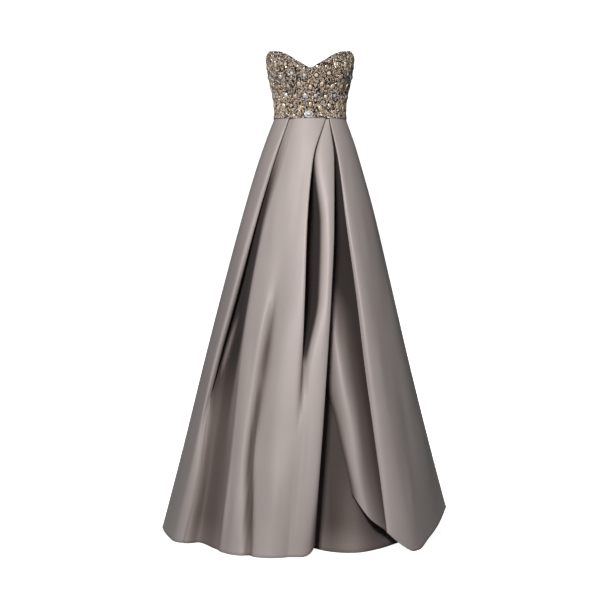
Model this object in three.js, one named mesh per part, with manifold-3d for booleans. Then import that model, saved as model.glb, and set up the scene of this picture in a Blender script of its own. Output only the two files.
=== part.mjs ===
// A strapless floor-length gown in its worn form, with no wearer in it. Millimetres.
// The origin is the centre of the waist seam. The front faces -Y, +X is to the right of
// someone looking at the front, and +Z is up. Bearings run round the body in degrees:
// 0 is centre front, 90 the right side, 180 centre back and -90 the left side.
import * as THREE from "three";
import { mergeVertices } from "three/addons/utils/BufferGeometryUtils.js";
import Module from "manifold-3d";

// Driving sizes of the cloth
const SKIRT_LENGTH = 1183; // waist seam to hem
const SKIRT_CLOTH = 1.6; // heavy satin with its facing
const BODICE_CLOTH = 2.6; // boned and beaded bodice
const SEAM_GAP = 0.3; // clearance between neighbouring pieces
const TURN_STEP = 3.2; // how far apart a fold's lines lie once it has opened out
const TURN = { waist: 1.7, hem: 2.4 }; // radius round a folded edge of the front
const RIGHT_SIDE_LENGTH = 1124; // the right side seam is cut a little shorter
const CLOSE_LINES = 6; // lines nearer than this at mid skirt need no line between them
const ROW_CROWDING = 1.25; // rows lie closer together near the waist

// Rows of the solids' grids, and columns of the bodice's panels
const ROWS = { front: 19, overlay: 18, underlay: 16, back: 18, bodiceFront: 21, bodiceBack: 13 };
const COLUMNS = { centre: 18, side: 13, back: 14 };

// Colours: satin skirt, beaded bodice, crystal ornament and zip metal
const SATIN = { color: 0x9d938e, roughness: 0.42, metalness: 0.0 };
const BEADED = { color: 0x8f7a58, roughness: 0.5, metalness: 0.3 };
const CRYSTAL = { color: 0xc9cbd2, roughness: 0.15, metalness: 0.6 };
const ZIP_METAL = { color: 0x8a8178, roughness: 0.35, metalness: 0.9 };

// The skirt's girth: half reaches to the left, right, front and back at each drop
const GIRTH = table(["drop", "left", "right", "front", "back"], [
  [0, 103, 103, 87, 87],
  [35, 117, 115.5, 99, 100],
  [70, 130, 128, 111, 114],
  [140, 154, 149, 134, 142],
  [250, 187, 180, 168, 185],
  [450, 242, 228, 226, 252],
  [700, 307, 287, 293, 332],
  [950, 369, 350, 357, 405],
  [1183, 430, 412, 418, 470],
]);

// The bodice's girth at each height above the waist seam
const BODICE_GIRTH = table(["height", "side", "front", "back"], [
  [0, 103, 86, 86],
  [22, 100.5, 84, 85],
  [56, 103.5, 89, 87],
  [90, 111, 99, 91],
  [125, 118.5, 106, 97],
  [150, 122, 106, 100],
  [171, 124.5, 102, 102],
  [196, 125, 97, 104],
]);

// The bodice's top edge: sweetheart dip, two peaks, low straight back
const TOP_EDGE = table(["bearing", "height"], [
  [0, 139], [5, 143.5], [10, 150], [19, 162], [27, 173.5], [35, 182], [45, 187.5],
  [62, 191], [72, 186], [90, 172], [115, 158], [145, 150], [180, 147],
]);

// The bust fullness that the princess seams shape, and the hollow between
const CUP = { bearing: 38, height: 124, out: 15, wide: 21, below: 36, above: 45 };
const BODICE_RADIUS = 112; // mean radius, which turns lengths round the bodice into bearings
const BODICE_HEIGHT = 170; // mean height, at which a panel's seams are first looked up

// The princess seam: bearing at each height
const PRINCESS = table(["height", "bearing"], [
  [0, 17], [60, 24], [124, 36], [190, 42],
]);

// Front panel fold lines: x across the front and how far each lies behind the girth,
// at these drops below the waist
const DROPS = [0, 120, 300, 500, 700, 850, 1000, 1190];
const FRONT = {
  sideRoll: {
    x: [-67, -108, -165, -218, -272, -305, -336, -382],
    back: [-1, -2, -3, -4, -5, -5, -5, -4],
  },
  sideLip: {
    x: [-60, -101, -154, -206, -260, -296, -316, -361],
    back: [0, 5, 10, 19, 21, 13, 18, 13],
  },
  sideTuck: {
    x: [-71, -112, -167, -218, -268, -286, -306, -348],
    back: [5.5, 9, 14, 27, 30, 26, 31, 23],
  },
  innerFold: {
    x: [-57, -95, -149, -197, -245, -275, -295, -332],
    back: [8, 16, 34, 60, 52, 40, 46, 45],
  },
  trough: {
    x: [-52, -88, -141, -187, -232, -258, -282, -312],
    back: [6, 13, 28, 56, 54, 56, 64, 76],
  },
  crease: {
    x: [-45, -76, -128, -168, -195, -209, -224, -250],
    back: [2, 5, 6, 9, 7, 6, 4, 16],
  },
  leftFace: {
    x: [-34, -58, -95, -128, -160, -180, -196, -218],
    back: [0.5, 2, 2, 2, 0, -3, -7, -9],
  },
  softValley: {
    x: [-12, -32, -64, -98, -131, -146, -157, -170],
    back: [0, 0, 1, 8, 15, 13, 4, -10],
  },
  midFace: {
    x: [8, -16, -40, -66, -88, -100, -108, -118],
    back: [0, 0, 0, 1, 1, -2, -8, -13],
  },
  rightFace: {
    x: [29, -4, -24, -38, -50, -60, -70, -82],
    back: [0, -1, -2, -2, -1, -2, -4, -2],
  },
  frontLip: {
    x: [43, 7, -9, -16, -25, -36, -46, -58],
    back: [0, -2, -3, -3, 0, 0, 2, 11],
  },
  pocketTuck: {
    x: [34, -6, -26, -33, -23, -25, -37, -50],
    back: [4.6, 14, 30, 36, 6, 1, 3, 12],
  },
  pocketFloor: {
    x: [41, 4, 2, -4, -15, -15, -28, -42],
    back: [8.4, 30, 78, 80, 8, 1, 3, 13],
  },
  pocketShoulder: {
    x: [45, 17, 31, 26, -5, -5, -18, -33],
    back: [7, 9, 13, 10, 3, 1, 4, 14],
  },
  slitFace: {
    x: [48.5, 42, 47, 41, 14, 6, -4, -20],
    back: [5.2, 2, 2, 2, 0, 0, 4, 17],
  },
  slitTurn: {
    x: [50.5, 58, 58, 49, 34, 24, 12, -4],
    back: [4.2, 0, 0, 0, -1, 0, 5, 26],
  },
  slitEdge: {
    x: [52, 67, 66, 57, 43.5, 33, 21.5, 9],
    back: [3.4, 1.5, 2, 2, 2, 4, 12, 52],
  },
};

// Right overlay: from its hidden free edge, out over its two folds, to the side seam
const OVERLAY = {
  freeEdge: {
    x: [36, 46, 48, 38, 40, 72, 106, 140],
    back: [16, 27, 58, 72, 70, 60, 50, 52],
  },
  crest: {
    x: [43, 54, 62, 68, 87, 115, 137, 185],
    back: [15.5, 28, 62, 58, 34, 28, 28, 30],
  },
  slope: {
    x: [51, 70, 90, 108, 128, 150, 172, 215],
    back: [14.5, 29, 64, 77, 68, 62, 58, 50],
  },
  valley: {
    x: [65, 92, 116, 142, 166, 186, 206, 236],
    back: [11.5, 25, 57, 78, 72, 66, 62, 54],
  },
  underside: {
    x: [59.5, 85, 108, 136, 158, 178, 198, 222],
    back: [6.5, 13, 30, 40, 38, 34, 30, 26],
  },
  ridge: {
    x: [54.4, 79, 101, 128, 151, 171, 191, 214],
    back: [0.4, 1, 3, 5, 6, 4, 2, 0],
  },
  nose: {
    x: [61, 87, 110, 138, 163, 186, 208, 236],
    back: [0, -2, -4, -6, -8, -9, -10, -9],
  },
  lightEdge: {
    x: [72, 101, 127, 158, 190, 218, 244, 284],
    back: [0, -2, -6, -10, -13, -15, -16, -14],
  },
};

// How far down each line of the overlay reaches: its hem slants up to the slit
const OVERLAY_LENGTHS = {
  freeEdge: 1030, crest: 1092, slope: 1130, valley: 1151, underside: 1140, ridge: 1131,
  nose: 1150, lightEdge: 1186, sideThird: 1167, sideFar: 1147,
};

// Underlay behind the slit
const UNDERLAY = {
  hiddenEdge: {
    x: [26, 34, 40, 36, 20, -6, -14, -10],
    back: [18.5, 38, 74, 104, 108, 118, 130, 150],
  },
  leftShade: {
    x: [36, 46, 56, 58, 56, 52, 54, 58],
    back: [18.5, 36, 73, 100, 92, 84, 80, 76],
  },
  middle: {
    x: [48, 62, 74, 88, 102, 110, 116, 124],
    back: [18, 36, 75, 98, 88, 76, 64, 50],
  },
  rightShade: {
    x: [64, 88, 108, 132, 152, 166, 178, 190],
    back: [17, 37, 73, 94, 92, 86, 82, 76],
  },
  farEdge: {
    x: [76, 104, 134, 164, 192, 212, 230, 246],
    back: [14.5, 37, 71, 92, 94, 96, 104, 122],
  },
};

// Back pleats, each a knife pleat whose lip looks away from centre back: bearing from
// centre back at the waist and the hem, how far the lip overlaps, its depth, and the
// drop where it has opened into a soft fold
const BACK_PLEATS = [
  { waist: 24, hem: 27, overlap: 11, depth: 22, opens: 760 },
  { waist: 56, hem: 57, overlap: 10, depth: 20, opens: 900 },
];
const BACK_WAVE = 12; // how far the opened folds swing in and out at the hem
const PLEAT_START = { overlap: 3, depth: 7.5 }; // of every pleat at the waist
const PLEAT_GROWS = { from: -60, to: 260 }; // drops over which it reaches its full size

// The lines of a back pleat, from its lip's side to its open side. Shut, a line lies
// along and out of the girth by a length and a share of the pleat's overlap or depth.
// Opened, it lies openAlong along the girth and a share of the wave out of it.
const PLEAT_LINES = [
  { along: -10, ofOverlap: -1, out: 0.2, ofDepth: 0, openAlong: -34, ofWave: 0.7 },
  { along: -1.4, ofOverlap: 0, out: 0, ofDepth: 0, openAlong: -22, ofWave: 1 },
  { along: 0, ofOverlap: 0, out: -1.7, ofDepth: 0, openAlong: -14, ofWave: 0.9 },
  { along: -1.4, ofOverlap: 0, out: -3.4, ofDepth: 0, openAlong: -6, ofWave: 0.5 },
  { along: 0, ofOverlap: -1, out: -1, ofDepth: -0.5, openAlong: 2, ofWave: -0.2 },
  { along: -0.4, ofOverlap: -1, out: -3.4, ofDepth: -0.5, openAlong: 10, ofWave: -0.7 },
  { along: 3, ofOverlap: 0, out: 0, ofDepth: -1, openAlong: 20, ofWave: -1 },
  { along: 9, ofOverlap: 1, out: -1.5, ofDepth: 0, openAlong: 36, ofWave: -0.4 },
];
const WAVE_STARTS = 200; // drop at which the back begins to wave

// Raised beadwork: large stones on a diagonal lattice, only in the outer face. Its rows
// swing up and down, alike on both sides of the centre.
const STONES = {
  across: 31, up: 29, radius: 8.5, rise: 2.2, lowest: 33, edge: 12, girth: 110,
  swing: 6, swingRound: 0.12, swingUp: 1.9,
};

// Waist ornament
const MEDALLION = { x: -4, height: 10.8, wide: 26, tall: 21, thick: 5, sides: 20 };
const DOME = [[0, 1], [0.45, 0.94], [0.72, 0.7], [0.8, 0.42], [0.86, 0.42], [1, 0.3], [1, 0], [0, 0]];

// Zip pull and slider at the top of the centre back seam
const ZIP = {
  height: 134, bodyWide: 6, bodyTall: 9, bodyThick: 2.2, bridgeWide: 1.6, bridgeReach: 3.2,
  bridgeHalf: 2.6, bridgeWall: 1, bridgeCorner: 1, bridgeRoot: 0.6, barOut: 1.15, bar: 1,
  tabWide: 7, tabLong: 22, eyeWide: 3.2, eyeLong: 4.6, tabThick: 1,
};

// Right halves of the slider's and the pull's outlines, from below, as shares of the
// half width and of the half height or the length
const SLIDER_EDGE = [[0.56, -1], [1, 0.2], [1, 0.8], [0.6, 1]];
const PULL_EDGE = [[0.35, 0], [0.8, 0.07], [1, 0.23], [0.86, 0.77], [0.8, 0.95], [0.6, 1]];

// A table's rows become one smooth function of the first column for each other column
function table(columns, rows) {
  const at = rows.map((row) => row[0]);
  const result = {};
  columns.slice(1).forEach((name, k) => {
    result[name] = smooth(at, rows.map((row) => row[k + 1]));
  });
  return result;
}

// Monotone cubic through values given at rising places: each place's slope is the
// harmonic mean of the slopes beside it, or 0 at a turning point
function smooth(at, values) {
  const last = at.length - 1;
  const chord = [];
  for (let i = 0; i < last; i++) chord.push((values[i + 1] - values[i]) / (at[i + 1] - at[i]));
  const slope = values.map((_, i) => {
    if (i === 0) return chord[0];
    if (i === last) return chord[last - 1];
    const before = chord[i - 1];
    const after = chord[i];
    return before * after <= 0 ? 0 : (2 * before * after) / (before + after);
  });
  return (place) => {
    let i = 0;
    while (i < last - 1 && place > at[i + 1]) i++;
    const step = at[i + 1] - at[i];
    const s = (place - at[i]) / step;
    const rise = s * s * (3 - 2 * s);
    const startTilt = s * (1 - s) * (1 - s) * step * slope[i];
    const endTilt = s * s * (s - 1) * step * slope[i + 1];
    return values[i] + (values[i + 1] - values[i]) * rise + startTilt + endTilt;
  };
}

// A point of the skirt's girth at a bearing, moved along the girth and outwards
function girthPoint(bearing, drop, along = 0, out = 0) {
  const angle = THREE.MathUtils.degToRad(bearing);
  const wide = angle < 0 ? GIRTH.left(drop) : GIRTH.right(drop);
  const deep = Math.cos(angle) > 0 ? GIRTH.front(drop) : GIRTH.back(drop);
  const tangent = new THREE.Vector2(wide * Math.cos(angle), deep * Math.sin(angle)).normalize();
  return new THREE.Vector3(
    wide * Math.sin(angle) + along * tangent.x + out * tangent.y,
    -deep * Math.cos(angle) + along * tangent.y - out * tangent.x,
    -Math.max(drop, SEAM_GAP / 2),
  );
}

// A point of the skirt's front given by its x and its distance behind the girth
function frontPoint(x, back, drop) {
  const wide = x < 0 ? GIRTH.left(drop) : GIRTH.right(drop);
  const y = -GIRTH.front(drop) * Math.sqrt(Math.max(0, 1 - (x / wide) ** 2));
  return new THREE.Vector3(x, y + back, -Math.max(drop, SEAM_GAP / 2));
}

// A station is a line that runs down a panel: its point at each drop and where it ends
function line(row, length = SKIRT_LENGTH) {
  const x = smooth(DROPS, row.x);
  const back = smooth(DROPS, row.back);
  return { length, point: (drop) => frontPoint(x(drop), back(drop), drop) };
}

// The three lines round a turn of the cloth. Each offset is in radii, sideways and back,
// and the radius grows from the waist to the hem. Where a fold has opened out, the lines
// spread sideways by an even step instead.
function turnLines(row, offsets, turn) {
  const base = line(row);
  return offsets.map(([side, behind], k) => ({
    length: turn.length,
    point: (drop) => {
      const open = THREE.MathUtils.smoothstep(drop, turn.opensFrom, turn.opensTo);
      const radius = THREE.MathUtils.lerp(turn.waist, turn.hem, drop / SKIRT_LENGTH);
      const p = base.point(drop);
      p.x += side * radius * (1 - open) + (k - 1) * TURN_STEP * open;
      p.y += behind * radius * (1 - open);
      return p;
    },
  }));
}

// A line at a share of the way round from one line to a side seam, on the girth
function between(row, seamBearing, share, outAt, length = SKIRT_LENGTH) {
  const x = smooth(DROPS, row.x);
  const out = smooth(DROPS, outAt);
  return {
    length,
    point: (drop) => {
      const wide = x(drop) < 0 ? GIRTH.left(drop) : GIRTH.right(drop);
      const start = THREE.MathUtils.radToDeg(Math.asin(x(drop) / wide));
      return girthPoint(start + (seamBearing - start) * share, drop, 0, out(drop));
    },
  };
}

// The line of a side or back seam, half the seam gap short of it
function seam(bearing, along, length = SKIRT_LENGTH) {
  return { length, point: (drop) => girthPoint(bearing, drop, along, 0) };
}

// Rows of points: a centripetal curve through the stations at every share of their length
function surface(stations, splits, rowCount) {
  const rows = [];
  for (let j = 0; j <= rowCount; j++) {
    const share = (j / rowCount) ** ROW_CROWDING;
    const points = stations.map((station) => station.point(share * station.length));
    const curve = new THREE.CatmullRomCurve3(points, false, "centripetal");
    const row = [];
    for (let k = 0; k < stations.length - 1; k++) {
      for (let s = 0; s < splits[k]; s++) {
        row.push(curve.getPoint((k + s / splits[k]) / (stations.length - 1)));
      }
    }
    row.push(points[points.length - 1].clone());
    rows.push(row);
  }
  return rows;
}

// Outward normals of a grid of points, from the differences to the neighbours
function gridNormals(rows) {
  const lastRow = rows.length - 1;
  const lastColumn = rows[0].length - 1;
  return rows.map((row, j) => row.map((_, i) => {
    const down = rows[Math.min(j + 1, lastRow)][i].clone().sub(rows[Math.max(j - 1, 0)][i]);
    const along = row[Math.min(i + 1, lastColumn)].clone().sub(row[Math.max(i - 1, 0)]);
    return down.cross(along).normalize();
  }));
}

// A closed wall: the outer grid, the inner grid turned round, and strips along the rim
function wall(outer, inner) {
  const rowCount = outer.length;
  const columnCount = outer[0].length;
  const points = [...outer.flat(), ...inner.flat()];
  const positions = new Float32Array(points.flatMap((p) => [p.x, p.y, p.z]));
  const under = rowCount * columnCount;
  const at = (j, i) => j * columnCount + i;
  const faces = [];
  const strip = (a, b) => faces.push(b, a, a + under, b, a + under, b + under);
  for (let j = 0; j < rowCount - 1; j++) {
    for (let i = 0; i < columnCount - 1; i++) {
      const [a, b, c, d] = [at(j, i), at(j + 1, i), at(j + 1, i + 1), at(j, i + 1)];
      faces.push(a, b, c, a, c, d);
      faces.push(a + under, c + under, b + under, a + under, d + under, c + under);
    }
  }
  for (let j = 0; j < rowCount - 1; j++) {
    strip(at(j, 0), at(j + 1, 0));
    strip(at(j + 1, columnCount - 1), at(j, columnCount - 1));
  }
  for (let i = 0; i < columnCount - 1; i++) {
    strip(at(rowCount - 1, i), at(rowCount - 1, i + 1));
    strip(at(0, i + 1), at(0, i));
  }
  const geometry = new THREE.BufferGeometry();
  geometry.setAttribute("position", new THREE.BufferAttribute(positions, 3));
  geometry.setIndex(faces);
  return geometry;
}

// A skirt panel: half the cloth's thickness to each side of its middle surface. The
// seam ends take the girth's own normal, so neighbouring edges stay parallel.
function skirtPanel(stations, splits, rowCount, seamNormals) {
  const middle = surface(stations, splits, rowCount);
  const normals = gridNormals(middle);
  for (const row of normals) {
    if (seamNormals.first) row[0].copy(seamNormals.first);
    if (seamNormals.last) row[row.length - 1].copy(seamNormals.last);
  }
  const moved = (distance) => middle.map((row, j) => row.map((p, i) => (
    p.clone().addScaledVector(normals[j][i], distance)
  )));
  return wall(moved(SKIRT_CLOTH / 2), moved(-SKIRT_CLOTH / 2));
}

// Turns in the order in which the cloth goes round them, as [sideways, back] in radii
const LIP_TO_RIGHT = [[-0.8, 0], [0, 1], [-0.8, 2]];
const TUCK_TO_LEFT = [[0.8, -1], [0, 0], [0.8, 1]];
const TUCK_TO_RIGHT = [[-0.8, 1], [0, 0], [-0.8, -1]];
const LIP_TO_LEFT = [[0.8, 2], [0, 1], [0.8, 0]];

// One strip between lines that lie close together, two between the others
function evenSplits(stations) {
  const drop = 450; // mid skirt
  return stations.slice(1).map((station, k) => (
    station.point(drop).distanceTo(stations[k].point(drop)) < CLOSE_LINES ? 1 : 2
  ));
}

function skirtFront() {
  const fold = { ...TURN, length: SKIRT_LENGTH };
  const sidePleat = { ...fold, opensFrom: 720, opensTo: 880 };
  const pocket = { ...fold, opensFrom: 640, opensTo: 800 };
  const stations = [
    seam(-90, SEAM_GAP / 2),
    between(FRONT.sideRoll, -90, 0.66, [0, 0, -1, -2, -3, -4, -5, -6]),
    between(FRONT.sideRoll, -90, 0.3, [0, 0, 0, -1, -2, -3, -4, -5]),
    line(FRONT.sideRoll),
    ...turnLines(FRONT.sideLip, LIP_TO_RIGHT, sidePleat),
    ...turnLines(FRONT.sideTuck, TUCK_TO_LEFT, sidePleat),
    line(FRONT.innerFold),
    line(FRONT.trough),
    line(FRONT.crease),
    line(FRONT.leftFace),
    line(FRONT.softValley),
    line(FRONT.midFace),
    line(FRONT.rightFace),
    ...turnLines(FRONT.frontLip, LIP_TO_RIGHT, pocket),
    ...turnLines(FRONT.pocketTuck, TUCK_TO_LEFT, pocket),
    line(FRONT.pocketFloor),
    line(FRONT.pocketShoulder),
    line(FRONT.slitFace),
    line(FRONT.slitTurn, SKIRT_LENGTH - 6),
    line(FRONT.slitEdge, SKIRT_LENGTH - 22),
  ];
  const first = new THREE.Vector3(-1, 0, 0);
  return skirtPanel(stations, evenSplits(stations), ROWS.front, { first });
}

function skirtOverlay() {
  const closed = { waist: 2, opensFrom: 2 * SKIRT_LENGTH, opensTo: 3 * SKIRT_LENGTH };
  const long = OVERLAY_LENGTHS;
  const valley = { ...closed, hem: 7, length: long.valley };
  const ridge = { ...closed, hem: 2.6, length: long.ridge };
  const edge = OVERLAY.lightEdge;
  const stations = [
    line(OVERLAY.freeEdge, long.freeEdge),
    line(OVERLAY.crest, long.crest),
    line(OVERLAY.slope, long.slope),
    ...turnLines(OVERLAY.valley, TUCK_TO_RIGHT, valley),
    line(OVERLAY.underside, long.underside),
    ...turnLines(OVERLAY.ridge, LIP_TO_LEFT, ridge),
    line(OVERLAY.nose, long.nose),
    line(edge, long.lightEdge),
    between(edge, 90, 0.3, [0, 0, 0, 0, 0, -2, -6, -14], long.sideThird),
    between(edge, 90, 0.62, [0, 0, 0, 0, 0, -3, -9, -20], long.sideFar),
    seam(90, -SEAM_GAP / 2, RIGHT_SIDE_LENGTH),
  ];
  const last = new THREE.Vector3(1, 0, 0);
  return skirtPanel(stations, evenSplits(stations), ROWS.overlay, { last });
}

function skirtUnderlay() {
  const stations = Object.values(UNDERLAY).map((row) => line(row));
  return skirtPanel(stations, stations.slice(1).map(() => 2), ROWS.underlay, {});
}

// One back panel: from its side seam to centre back, with its knife pleats in order
function skirtBack(side) {
  const sideLength = side > 0 ? RIGHT_SIDE_LENGTH : SKIRT_LENGTH;
  const bearingAt = (fromBack) => side * (180 - fromBack);
  const hemAt = (fromBack) => SKIRT_LENGTH + (sideLength - SKIRT_LENGTH) * (fromBack / 90) ** 2;
  const wave = (drop) => BACK_WAVE * THREE.MathUtils.smoothstep(drop, WAVE_STARTS, SKIRT_LENGTH);
  const plain = (fromBack, ofWave) => ({
    length: hemAt(fromBack),
    point: (drop) => girthPoint(bearingAt(fromBack), drop, 0, ofWave * wave(drop)),
  });
  const folded = (pleat, edge) => ({
    length: hemAt(pleat.hem),
    point: (drop) => {
      const fromBack = THREE.MathUtils.lerp(pleat.waist, pleat.hem, drop / SKIRT_LENGTH);
      const open = THREE.MathUtils.smoothstep(drop, pleat.opens * 0.55, pleat.opens);
      const grown = THREE.MathUtils.smoothstep(drop, PLEAT_GROWS.from, PLEAT_GROWS.to);
      const overlap = THREE.MathUtils.lerp(PLEAT_START.overlap, pleat.overlap, grown);
      const depth = THREE.MathUtils.lerp(PLEAT_START.depth, pleat.depth, grown);
      const spread = edge.openAlong * (0.3 + drop / SKIRT_LENGTH);
      const along = THREE.MathUtils.lerp(edge.along + edge.ofOverlap * overlap, spread, open);
      const out = THREE.MathUtils.lerp(edge.out + edge.ofDepth * depth, edge.ofWave * wave(drop), open);
      return girthPoint(bearingAt(fromBack), drop, side * along, out);
    },
  });
  const stations = [seam(side * 90, side * SEAM_GAP / 2, sideLength), plain(78, 0.3)];
  for (const pleat of [...BACK_PLEATS].reverse()) {
    stations.push(...PLEAT_LINES.map((edge) => folded(pleat, edge)));
  }
  stations.push(plain(9, 0.5), seam(side * 180, -side * SEAM_GAP / 2));
  if (side < 0) stations.reverse();
  const splits = evenSplits(stations);
  const sideNormal = new THREE.Vector3(side, 0, 0);
  const backNormal = new THREE.Vector3(0, 1, 0);
  return side > 0
    ? skirtPanel(stations, splits, ROWS.back, { first: sideNormal, last: backNormal })
    : skirtPanel(stations, splits, ROWS.back, { first: backNormal, last: sideNormal });
}

// A point of the bodice's middle surface: its girth with the two cups blended on
function bodicePoint(bearing, height) {
  const angle = THREE.MathUtils.degToRad(bearing);
  const deep = Math.cos(angle) > 0 ? BODICE_GIRTH.front(height) : BODICE_GIRTH.back(height);
  const wide = BODICE_GIRTH.side(height);
  const normal = new THREE.Vector2(deep * Math.sin(angle), -wide * Math.cos(angle)).normalize();
  const sideways = (Math.abs(bearing) - CUP.bearing) / CUP.wide;
  const upwards = (height - CUP.height) / (height > CUP.height ? CUP.above : CUP.below);
  const out = CUP.out * Math.exp(-(sideways ** 2) - upwards ** 2);
  return new THREE.Vector3(
    wide * Math.sin(angle) + out * normal.x,
    -deep * Math.cos(angle) + out * normal.y,
    Math.max(height, SEAM_GAP / 2),
  );
}

// The outward normal of the bodice, from small steps round and up
function bodiceNormal(bearing, height) {
  const round = bodicePoint(bearing + 0.5, height).sub(bodicePoint(bearing - 0.5, height));
  const up = bodicePoint(bearing, height + 1).sub(bodicePoint(bearing, height - 1));
  if (height < 1) up.set(0, 0, 1);
  return round.cross(up).normalize();
}

// How far the stones of the diagonal lattice stand out at a point of the bodice
function stoneRise(bearing, height) {
  const girth = THREE.MathUtils.degToRad(bearing) * STONES.girth;
  const lattice = Math.round((height - STONES.lowest) / STONES.up);
  let rise = 0;
  for (const row of [lattice - 1, lattice, lattice + 1]) {
    const shift = row % 2 === 0 ? 0 : STONES.across / 2;
    const centre = Math.round((girth - shift) / STONES.across) * STONES.across + shift;
    const swing = Math.cos(STONES.swingRound * centre) * Math.cos(STONES.swingUp * row);
    const level = STONES.lowest + row * STONES.up + STONES.swing * swing;
    const centreBearing = THREE.MathUtils.radToDeg(centre / STONES.girth);
    const top = TOP_EDGE.height(Math.abs(centreBearing));
    if (row < 0 || level > top - STONES.edge) continue;
    const distance = Math.hypot(girth - centre, height - level) / STONES.radius;
    rise = Math.max(rise, STONES.rise * (1 - distance ** 2));
  }
  return rise;
}

// A bodice panel between two seam lines, each a bearing at every height
function bodicePanel(firstSeam, lastSeam, columns, rowCount) {
  const outer = [];
  const inner = [];
  for (let j = 0; j <= rowCount; j++) {
    const share = 1 - j / rowCount;
    const outerRow = [];
    const innerRow = [];
    for (let i = 0; i <= columns; i++) {
      const across = i / columns;
      const seamAt = (height) => THREE.MathUtils.lerp(firstSeam(height), lastSeam(height), across);
      const top = TOP_EDGE.height(Math.abs(seamAt(share * BODICE_HEIGHT)));
      const height = share * top;
      const trim = THREE.MathUtils.radToDeg(((0.5 - across) * SEAM_GAP) / BODICE_RADIUS);
      const bearing = seamAt(height) + trim;
      const point = bodicePoint(bearing, height);
      const normal = bodiceNormal(bearing, height);
      const rise = i === 0 || i === columns || j === 0 || j === rowCount
        ? 0 : stoneRise(bearing, height);
      outerRow.push(point.clone().addScaledVector(normal, BODICE_CLOTH / 2 + rise));
      innerRow.push(point.clone().addScaledVector(normal, -BODICE_CLOTH / 2));
    }
    outer.push(outerRow);
    inner.push(innerRow);
  }
  return wall(outer, inner);
}

// Waist ornament: an oval dome with a stepped rim, bent to lie on the bodice
function medallion() {
  const profile = DOME.map(([radius, rise]) => new THREE.Vector2(radius, rise));
  const geometry = new THREE.LatheGeometry(profile, MEDALLION.sides);
  const position = geometry.attributes.position;
  const proud = BODICE_CLOTH / 2 + SEAM_GAP;
  for (let i = 0; i < position.count; i++) {
    const across = position.getX(i) * MEDALLION.wide / 2 + MEDALLION.x;
    const height = position.getZ(i) * MEDALLION.tall / 2 + MEDALLION.height;
    const wide = BODICE_GIRTH.side(height);
    const bearing = THREE.MathUtils.radToDeg(Math.asin(across / wide));
    const out = proud + position.getY(i) * MEDALLION.thick;
    const spot = bodicePoint(bearing, height)
      .addScaledVector(bodiceNormal(bearing, Math.max(height, 1)), out);
    position.setXYZ(i, spot.x, spot.y, height);
  }
  return closed(geometry);
}

// Shared points are merged so that the mesh is one closed body
function closed(geometry) {
  geometry.deleteAttribute("normal");
  geometry.deleteAttribute("uv");
  return mergeVertices(geometry, 1e-4);
}

const wasm = await Module();
wasm.setup();

function solid(geometry) {
  const merged = closed(geometry);
  return new wasm.Manifold(new wasm.Mesh({
    numProp: 3,
    vertProperties: new Float32Array(merged.attributes.position.array),
    triVerts: new Uint32Array(merged.index.array),
  }));
}

function fromSolid(body) {
  const mesh = body.getMesh();
  const geometry = new THREE.BufferGeometry();
  geometry.setAttribute("position", new THREE.BufferAttribute(mesh.vertProperties, 3));
  geometry.setIndex(new THREE.BufferAttribute(mesh.triVerts, 1));
  return geometry;
}

// A flat outline with an optional hole, given its thickness along one axis
function plate(outline, hole, thickness) {
  const shape = new THREE.Shape(outline);
  if (hole) shape.holes.push(new THREE.Path(hole));
  return new THREE.ExtrudeGeometry(shape, { depth: thickness, bevelEnabled: false });
}

// An outline from its right half, mirrored to the left
function mirrored(edge, halfWide, scale, base) {
  const right = edge.map(([x, y]) => new THREE.Vector2(x * halfWide, base + y * scale));
  const left = right.map((p) => new THREE.Vector2(-p.x, p.y)).reverse();
  return [...right, ...left];
}

const zipFace = BODICE_GIRTH.back(ZIP.height) + BODICE_CLOTH / 2 + 2 * SEAM_GAP
  + ZIP.bodyThick;
const zipAxis = { y: zipFace + ZIP.barOut, z: ZIP.height };

// Slider: a small body with a bridge, whose opening holds the pull's bar
function zipSlider() {
  const outline = mirrored(SLIDER_EDGE, ZIP.bodyWide / 2, ZIP.bodyTall / 2, 0);
  const body = plate(outline, null, ZIP.bodyThick);
  body.rotateX(Math.PI / 2).translate(0, zipFace, ZIP.height);
  const openHalf = ZIP.bridgeHalf - ZIP.bridgeWall;
  const openReach = ZIP.bridgeReach - ZIP.bridgeWall;
  const corner = ZIP.bridgeReach - ZIP.bridgeCorner;
  const arch = [
    [-ZIP.bridgeRoot, -ZIP.bridgeHalf], [corner, -ZIP.bridgeHalf], [ZIP.bridgeReach, -openHalf],
    [ZIP.bridgeReach, openHalf], [corner, ZIP.bridgeHalf], [-ZIP.bridgeRoot, ZIP.bridgeHalf],
    [-ZIP.bridgeRoot, openHalf], [openReach, openHalf], [openReach, -openHalf],
    [-ZIP.bridgeRoot, -openHalf],
  ].map(([reach, height]) => new THREE.Vector2(reach, height));
  const bridge = plate(arch, null, ZIP.bridgeWide).translate(0, 0, -ZIP.bridgeWide / 2);
  // the outline's first axis is the reach out of the back, its second is height
  bridge.applyMatrix4(new THREE.Matrix4().makeBasis(
    new THREE.Vector3(0, 1, 0), new THREE.Vector3(0, 0, 1), new THREE.Vector3(1, 0, 0),
  ));
  bridge.translate(0, zipFace, ZIP.height);
  return fromSolid(solid(body).add(solid(bridge)));
}

// Pull: a small tapered plate whose eye goes round the bridge
function zipPull() {
  const low = ZIP.bar / 2 - ZIP.tabLong;
  const outline = mirrored(PULL_EDGE, ZIP.tabWide / 2, ZIP.tabLong, low);
  const eyeLow = -ZIP.bar / 2 - ZIP.eyeLong;
  const eye = mirrored([[1, 0], [1, 1]], ZIP.eyeWide / 2, ZIP.eyeLong, eyeLow).reverse();
  const tab = plate(outline, eye, ZIP.tabThick);
  tab.rotateX(Math.PI / 2).translate(0, zipAxis.y + ZIP.tabThick / 2, zipAxis.z);
  return closed(tab);
}

const group = new THREE.Group();

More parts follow.
